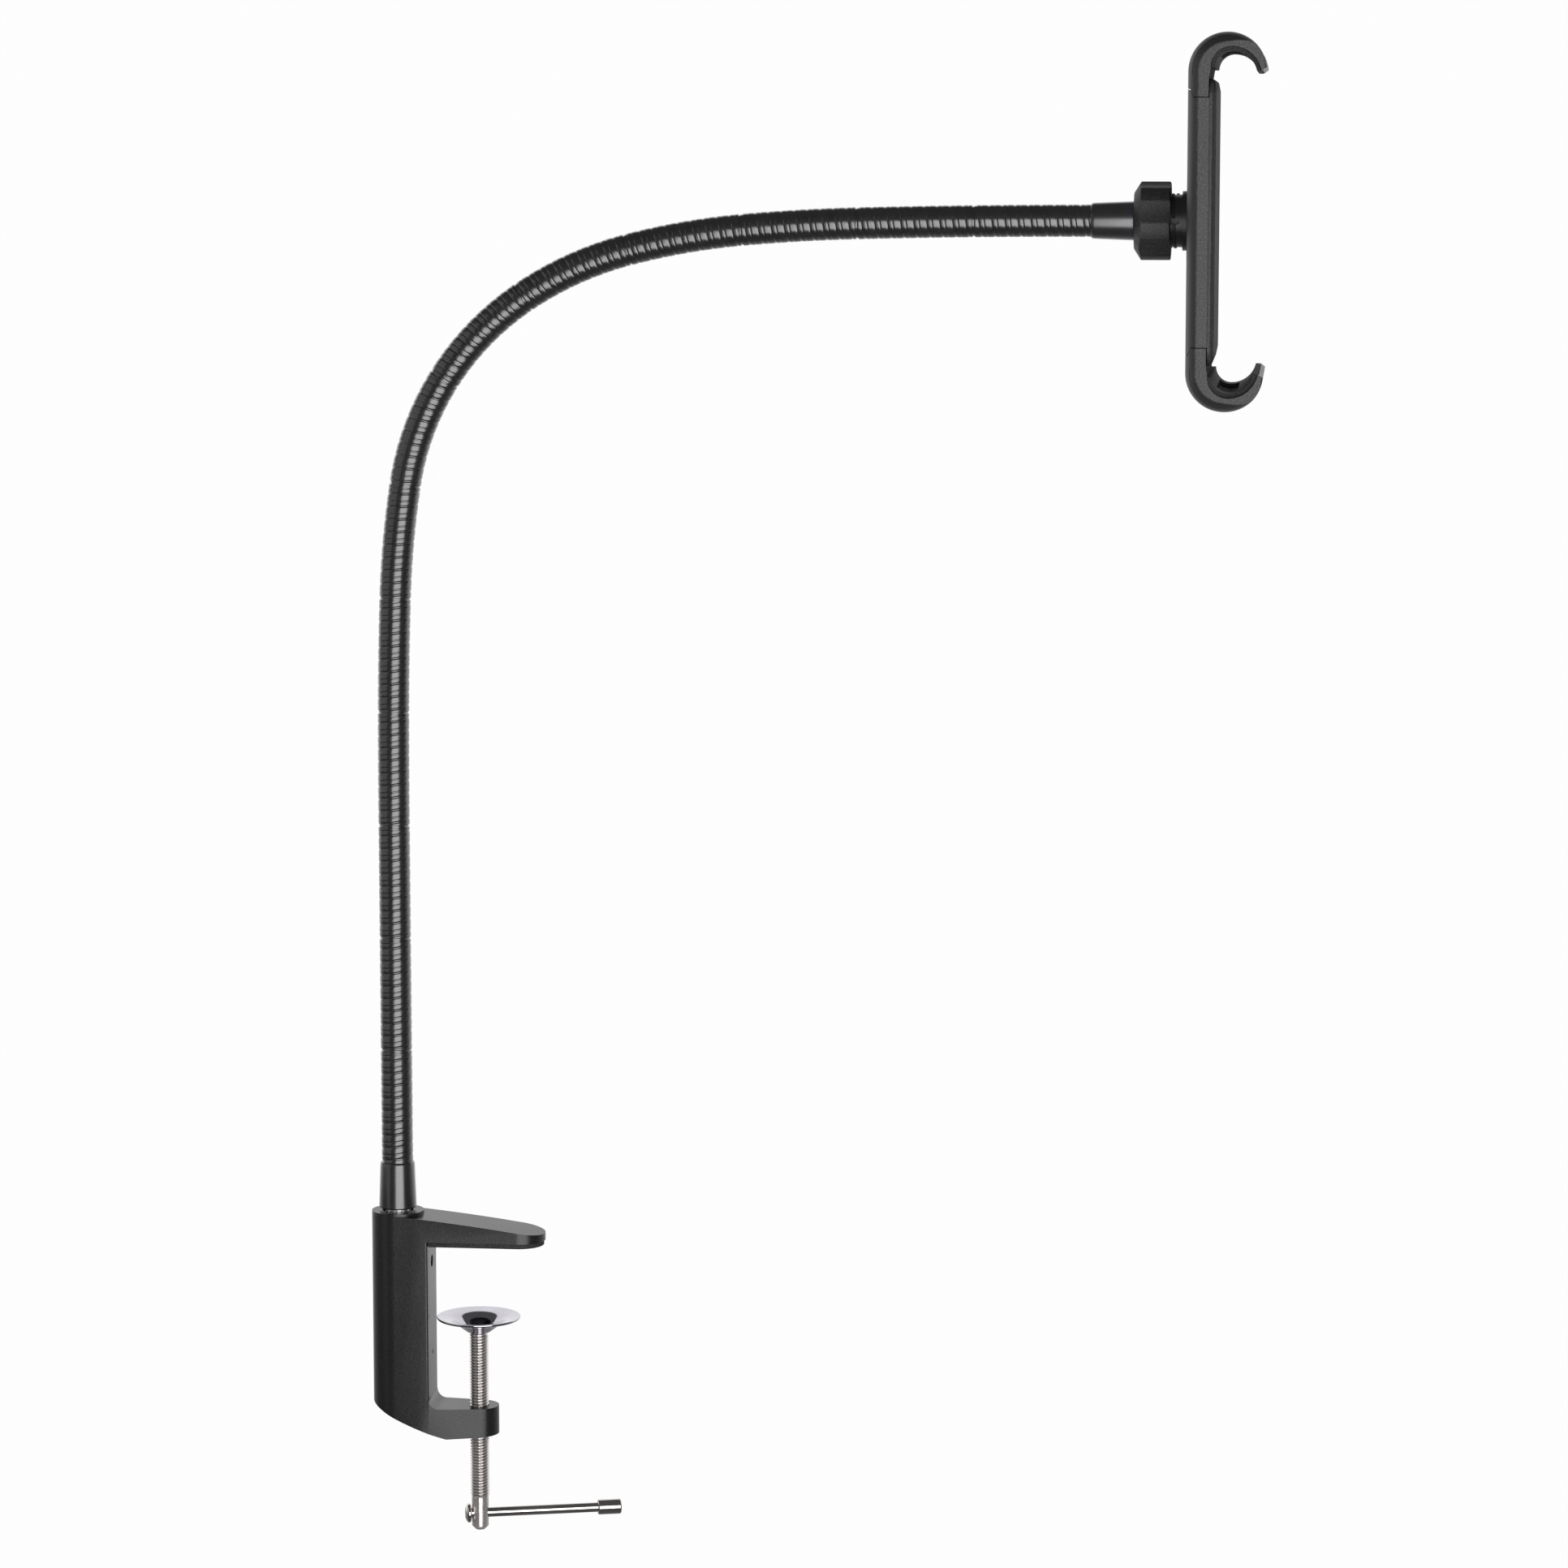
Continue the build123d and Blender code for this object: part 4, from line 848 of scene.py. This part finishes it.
class MOUNT_OT_clamp_screw(bpy.types.Operator):
    """Build the clamping screw with its thread, dish and tommy bar"""

    bl_idname = "mount.clamp_screw"
    bl_label = "Clamping screw"

    def execute(self, context):
        sizes = context.scene.mount_threads
        self.screw(sizes)
        self.dish()
        moulded_copy("tommy_bar", "sliding_bar", "bar", "nickel", width=0.0006, segments=3)
        moulded_copy("bar_cap", "bar_end_cap", "bar", "nickel", width=0.0003)
        return {"FINISHED"}

    @staticmethod
    def screw(sizes):
        """The screw's thread between its bored neck and the rivet in the dish."""
        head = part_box("clamp_screw")[1].z
        bm = merged_copy("clamp_screw")
        bmesh.ops.bisect_plane(
            bm,
            geom=bm.verts[:] + bm.edges[:] + bm.faces[:],
            plane_co=(0.0, 0.0, THREAD_BOTTOM - NECK_CUT),
            plane_no=(0.0, 0.0, 1.0),
            clear_outer=True,
        )
        bmesh.ops.holes_fill(bm, edges=[edge for edge in bm.edges if edge.is_boundary], sides=0)
        foot = THREAD_BOTTOM - THREAD_OVERLAP
        screw_thread(bm, sizes.screw_radius, sizes.screw_pitch, sizes.screw_depth, foot, THREAD_TOP)
        spigot = rounded(
            [
                (0.0, THREAD_TOP - SPIGOT_OVERLAP, 0.0),
                (SPIGOT_RADIUS, THREAD_TOP - SPIGOT_OVERLAP, 0.0),
                (SPIGOT_RADIUS, head - RIVET_HEIGHT, 0.0),
                (RIVET_RADIUS, head - RIVET_HEIGHT, 0.0),
                (RIVET_RADIUS - RIVET_TAPER, head, 0.0003),
                (0.0, head, 0.0),
            ]
        )
        lathe(bm, spigot, steps=48)
        bmesh.ops.recalc_face_normals(bm, faces=bm.faces)
        smooth_faces(bm, 40.0)
        new_piece("threaded_screw", "screw", ["clamp_screw"], "thread", bm)

    @staticmethod
    def dish():
        """The polished dish, pressed from sheet with a rolled edge."""
        low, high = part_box("pressure_dish")
        rim = high.x
        bm = bmesh.new()
        outline = rounded(
            [
                (DISH_HOLE, low.z, 0.0),
                (DISH_HOLE, low.z + DISH_SHEET, 0.0),
                (DISH_FLOOR, low.z + DISH_SHEET, 0.0008),
                (DISH_CUP, high.z - DISH_SLOPE, 0.0014),
                (DISH_BEND, high.z - DISH_BEND_DEPTH, 0.0024),
                (rim - 0.0001, high.z, 0.00035),
                (rim, high.z - 0.0006, 0.0003),
                (rim - 0.0005, high.z - DISH_SHEET, 0.0004),
                (DISH_BEND + 0.0006, high.z - DISH_BEND_DEPTH - DISH_SHEET, 0.0024),
                (DISH_SHOULDER, high.z - DISH_SLOPE - 0.0003, 0.0006),
                (DISH_FOOT, low.z, 0.0008),
                (DISH_HOLE, low.z, 0.0),
            ],
            8,
        )
        lathe(bm, outline, steps=128)
        smooth_faces(bm, 50.0)
        new_piece("polished_dish", "dish", ["pressure_dish"], "chrome", bm)


class MOUNT_OT_ball_joint(bpy.types.Operator):
    """Build the upper ferrule, the ball joint and its collar nut"""

    bl_idname = "mount.ball_joint"
    bl_label = "Ball joint"

    def execute(self, context):
        last = f"arm_{SECTION_COUNT:02d}"
        low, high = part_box("upper_ferrule")
        place = Matrix.Translation((high.x, 0.0, (low.z + high.z) / 2)) @ Matrix.Rotation(-math.pi / 2, 4, "Y")
        bm = ferrule(high.x - low.x, PIN_BORE, place)
        new_piece("head_ferrule", last, ["upper_ferrule"], "upper_ferrule", bm)
        moulded_copy("joint_ball", "socket_ball", "ball", "ball")
        moulded_copy("friction_cup", "ball_cup", "cup", "rubber")
        moulded_copy("ball_socket", "split_socket", "holder", "socket", width=0.0002)
        self.nut(context.scene.mount_threads)
        self.socket_thread(context.scene.mount_threads)
        return {"FINISHED"}

    @staticmethod
    def axis_centre():
        """Middle of the ball joint's axis, from the socket's box."""
        low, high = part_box("ball_socket")
        return Vector((0.0, 0.0, (low.z + high.z) / 2))

    def nut(self, sizes):
        """The collar nut, its bore cut to the root of the socket's thread."""
        bm = merged_copy("collar_nut")
        centre = self.axis_centre()
        root = sizes.socket_radius + SOCKET_CLEARANCE
        smooth_bore = sizes.socket_radius - SOCKET_RIDGE_RISE
        for vert in bm.verts:
            across = Vector((0.0, vert.co.y, vert.co.z - centre.z))
            if abs(across.length - smooth_bore) < SOCKET_RIDGE_RISE / 2:
                vert.co += across.normalized() * (root - across.length)
        smooth_faces(bm)
        soften(new_piece("lobed_nut", "nut", ["collar_nut"], "nut", bm), width=0.0005, segments=3)

    def socket_thread(self, sizes):
        """Rounded thread ridges on the socket's fingers, one closed arc for each finger and turn."""
        low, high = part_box("ball_socket")
        start, end = low.x + SOCKET_THREAD_START, high.x - SOCKET_THREAD_END
        foot = sizes.socket_radius - 2 * SOCKET_RIDGE_RISE
        gap = math.asin(SOCKET_SLOT_HALF / sizes.socket_radius)
        quarter = math.tau / SOCKET_FINGERS
        bm = bmesh.new()
        turns = int((end - start) / sizes.socket_pitch * SOCKET_FINGERS)
        for index in range(turns):
            along = start + (index + gap / quarter) * sizes.socket_pitch / SOCKET_FINGERS
            self.ridge(bm, sizes, foot, along, index * quarter + gap, quarter - 2 * gap)
        place = Matrix.Translation(self.axis_centre()) @ Matrix.Rotation(math.pi / 2, 4, "Y")
        bmesh.ops.transform(bm, matrix=place, verts=bm.verts)
        bmesh.ops.recalc_face_normals(bm, faces=bm.faces)
        smooth_faces(bm, 50.0)
        new_piece("socket_thread", "holder", [], "socket", bm)

    @staticmethod
    def ridge(bm, sizes, foot, along, angle, sweep):
        """One arc of the thread: a half-round section wound about Z and closed at both ends."""
        before = set(bm.verts)
        half = sizes.socket_ridge / 2
        profile = [bm.verts.new((foot, 0.0, along - half))]
        for side in range(RIDGE_SIDES + 1):
            turn = math.pi * side / RIDGE_SIDES
            rise = math.sin(turn) ** RIDGE_FULLNESS * SOCKET_RIDGE_RISE if 0 < side < RIDGE_SIDES else 0.0
            reach = sizes.socket_radius - SOCKET_RIDGE_RISE + rise
            profile.append(bm.verts.new((reach, 0.0, along - half * math.cos(turn))))
        profile.append(bm.verts.new((foot, 0.0, along + half)))
        first = bm.faces.new(profile)
        climb = sizes.socket_pitch * sweep / math.tau / RIDGE_STEPS
        bmesh.ops.spin(
            bm,
            geom=[first],
            cent=(0.0, 0.0, 0.0),
            axis=(0.0, 0.0, 1.0),
            dvec=(0.0, 0.0, climb),
            angle=sweep,
            steps=RIDGE_STEPS,
            use_merge=False,
            use_duplicate=False,
        )
        made = [vert for vert in bm.verts if vert not in before]
        bmesh.ops.holes_fill(bm, edges=open_edges_on(bm, made), sides=0)
        bmesh.ops.rotate(bm, verts=made, cent=(0.0, 0.0, 0.0), matrix=Matrix.Rotation(angle, 3, "Z"))


class MOUNT_OT_holder(bpy.types.Operator):
    """Build the holder's body and its two sliding hooks"""

    bl_idname = "mount.holder"
    bl_label = "Tablet holder"

    def execute(self, context):
        moulded_copy("back_shell", "holder_back", "holder", "shell", width=0.00015)
        moulded_copy("front_cover", "holder_front", "holder", "cover", width=0.0003)
        moulded_copy("face_pad", "holder_pad", "holder", "rubber", width=0.0004)
        for side in ("upper", "lower"):
            body = f"{side}_jaw"
            self.bow(f"{side}_hook", f"{side}_hook_shell", body, "hook", "satin_black", 0.00015)
            self.bow(f"{side}_liner", f"{side}_hook_liner", body, "rubber", "rubber_black", 0.0003)
            moulded_copy(f"{side}_slide", f"{side}_slide_plate", body, "plastic", width=0.0003)
        return {"FINISHED"}

    @staticmethod
    def bow(node, name, body, finish, slot, width):
        """A hook or its liner, its flat side faces carried on to a tight corner at the lip."""
        bm = merged_copy(node)
        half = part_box(node)[1].y
        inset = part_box("upper_hook")[1].y - half
        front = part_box("back_shell")[0].x + 2 * HOOK_RADIUS

        def outline(x, corner):
            """Half width at a depth, with a round corner of this radius at the lip."""
            past = min(max(x - (front - corner), 0.0), corner)
            return half - corner + math.sqrt(corner**2 - past**2)

        wide, tight = HOOK_CORNER - inset, max(HOOK_LIP_CORNER - inset, LEAST_CORNER)
        for vert in bm.verts:
            reach = vert.co.y * outline(vert.co.x, tight) / outline(vert.co.x, wide)
            vert.co.y = min(max(reach, -half), half)
        smooth_faces(bm)
        soften(new_piece(name, body, [node], finish, bm), width, segments=3)


class MOUNT_OT_hidden_parts(bpy.types.Operator):
    """Give the inner CAD parts their finishes"""

    bl_idname = "mount.hidden_parts"
    bl_label = "Inner parts"

    def execute(self, context):
        finishes = {"wound_steel": "wound_steel", "steel": "nickel"}
        slots = {part["node"]: part["material_slot"] for part in frame["record"]["subparts"]}
        for name, node in frame["nodes"].items():
            finish = finishes.get(slots.get(name), "plastic")
            node.data.materials.clear()
            node.data.materials.append(FINISHES[finish])
        return {"FINISHED"}


class MOUNT_OT_stage(bpy.types.Operator):
    """Set the camera, the pale ground and the soft light"""

    bl_idname = "mount.stage"
    bl_label = "Stage"

    def execute(self, context):
        settings = context.scene.mount_stage
        scene = context.scene
        scene.view_settings.view_transform = "Standard"
        data = bpy.data.cameras.new("photo_camera")
        data.sensor_width = 36.0
        data.lens = settings.focal_length
        data.clip_start = 0.01
        data.clip_end = 50.0
        camera = bpy.data.objects.new("photo_camera", data)
        camera.location = settings.camera_place
        camera.rotation_euler = (math.pi / 2 - settings.pitch, 0.0, settings.yaw)
        scene.collection.objects.link(camera)
        scene.camera = camera
        self.ground()
        self.room(scene, settings)
        self.lamp(scene, "front_light", *FRONT_LIGHT, settings.front_light)
        self.lamp(scene, "left_light", *LEFT_LIGHT, settings.side_light)
        return {"FINISHED"}

    def ground(self):
        """Floor and backdrop in one wide curved sheet, and the floor in front that hides no light."""
        bm = self.floor(FLOOR_SEAM, BACKDROP_PLACE)
        back = [edge for edge in bm.edges if all(vert.co.y > BACKDROP_PLACE - 0.1 for vert in edge.verts)]
        wall = bmesh.ops.extrude_edge_only(bm, edges=back)
        verts = [item for item in wall["geom"] if isinstance(item, bmesh.types.BMVert)]
        bmesh.ops.translate(bm, verts=verts, vec=(0.0, 0.0, BACKDROP_HEIGHT))
        corner = [
            edge
            for edge in bm.edges
            if all(abs(vert.co.y - BACKDROP_PLACE) < 0.01 and vert.co.z < 0 for vert in edge.verts)
        ]
        bmesh.ops.bevel(
            bm,
            geom=corner,
            offset=BACKDROP_ROUND,
            offset_type="OFFSET",
            affect="EDGES",
            segments=16,
            profile=0.5,
            material=-1,
        )
        for face in bm.faces:
            face.smooth = True
        self.sheet("ground", bm)
        front = self.sheet("ground_in_front", self.floor(FLOOR_FRONT, FLOOR_SEAM))
        front.visible_glossy = False
        front.visible_shadow = False

    @staticmethod
    def floor(near, far):
        """A flat stretch of the floor between two depths."""
        bm = bmesh.new()
        bmesh.ops.create_grid(bm, x_segments=1, y_segments=1, size=1.0)
        bmesh.ops.scale(bm, verts=bm.verts, vec=(FLOOR_HALF_WIDTH, (far - near) / 2, 1.0))
        bmesh.ops.translate(bm, verts=bm.verts, vec=(VIEW_MIDDLE.x, (far + near) / 2, FLOOR_HEIGHT))
        return bm

    @staticmethod
    def sheet(name, bm):
        """Store a stage sheet with the pale ground on it."""
        mesh = bpy.data.meshes.new(name)
        bm.to_mesh(mesh)
        bm.free()
        sheet = bpy.data.objects.new(name, mesh)
        mesh.materials.append(pale_ground(name, (0.86, 0.86, 0.86)))
        bpy.context.scene.collection.objects.link(sheet)
        return sheet

    @staticmethod
    def room(scene, settings):
        """A white room to the camera, a dimmer one for light and gloss."""
        world = bpy.data.worlds.new("studio_room")
        world.use_nodes = True
        nodes, links = world.node_tree.nodes, world.node_tree.links
        path = nodes.new("ShaderNodeLightPath")
        seen = nodes.new("ShaderNodeMath")
        seen.operation = "MAXIMUM"
        links.new(path.outputs["Is Camera Ray"], seen.inputs[0])
        links.new(path.outputs["Is Transmission Ray"], seen.inputs[1])
        level = nodes.new("ShaderNodeMix")
        level.inputs[2].default_value = settings.ambient
        level.inputs[3].default_value = settings.reflected
        links.new(path.outputs["Is Glossy Ray"], level.inputs[0])
        strength = nodes.new("ShaderNodeMix")
        links.new(seen.outputs[0], strength.inputs[0])
        links.new(level.outputs[0], strength.inputs[2])
        strength.inputs[3].default_value = 1.0
        links.new(strength.outputs[0], nodes["Background"].inputs["Strength"])
        nodes["Background"].inputs["Color"].default_value = rgba(WHITE)
        scene.world = world

    @staticmethod
    def lamp(scene, name, offset, width, height, power):
        """A soft rectangular light that faces the middle of the view from an offset."""
        data = bpy.data.lights.new(name, "AREA")
        data.shape = "RECTANGLE"
        data.size = width
        data.size_y = height
        data.energy = power
        light = bpy.data.objects.new(name, data)
        light.location = VIEW_MIDDLE + offset
        light.rotation_euler = (-offset).to_track_quat("-Z", "Y").to_euler()
        scene.collection.objects.link(light)


class MOUNT_PT_panel(bpy.types.Panel):
    """Sizes, colours and build steps of the desk mount"""

    bl_idname = "MOUNT_PT_panel"
    bl_label = "Desk mount"
    bl_space_type = "VIEW_3D"
    bl_region_type = "UI"
    bl_category = "Desk mount"

    def draw(self, context):
        for group_name, group in GROUPS.items():
            box = self.layout.box()
            for name in group.__annotations__:
                box.prop(getattr(context.scene, group_name), name)
        for operator in OPERATORS:
            self.layout.operator(operator.bl_idname)


OPERATORS = (
    MOUNT_OT_hidden_parts,
    MOUNT_OT_clamp,
    MOUNT_OT_clamp_screw,
    MOUNT_OT_arm_sleeve,
    MOUNT_OT_ball_joint,
    MOUNT_OT_holder,
    MOUNT_OT_stage,
)
GROUPS = {
    "mount_arm": ArmSizes,
    "mount_threads": ThreadSizes,
    "mount_colours": FinishColours,
    "mount_stage": StageSettings,
}


def register():
    """Register the settings, build steps and panel."""
    for name, group in GROUPS.items():
        bpy.utils.register_class(group)
        setattr(bpy.types.Scene, name, PointerProperty(type=group))
    for cls in (*OPERATORS, MOUNT_PT_panel):
        bpy.utils.register_class(cls)


def unregister():
    """Remove what register added."""
    for cls in reversed((*OPERATORS, MOUNT_PT_panel)):
        bpy.utils.unregister_class(cls)
    for name, group in reversed(GROUPS.items()):
        delattr(bpy.types.Scene, name)
        bpy.utils.unregister_class(group)


def main():
    """Dress the frame."""
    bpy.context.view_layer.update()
    register()
    make_finishes(bpy.context.scene.mount_colours)
    bpy.ops.mount.hidden_parts()
    bpy.ops.mount.clamp()
    bpy.ops.mount.clamp_screw()
    bpy.ops.mount.arm_sleeve()
    bpy.ops.mount.ball_joint()
    bpy.ops.mount.holder()
    bpy.ops.mount.stage()


if __name__ == "__main__":
    main()
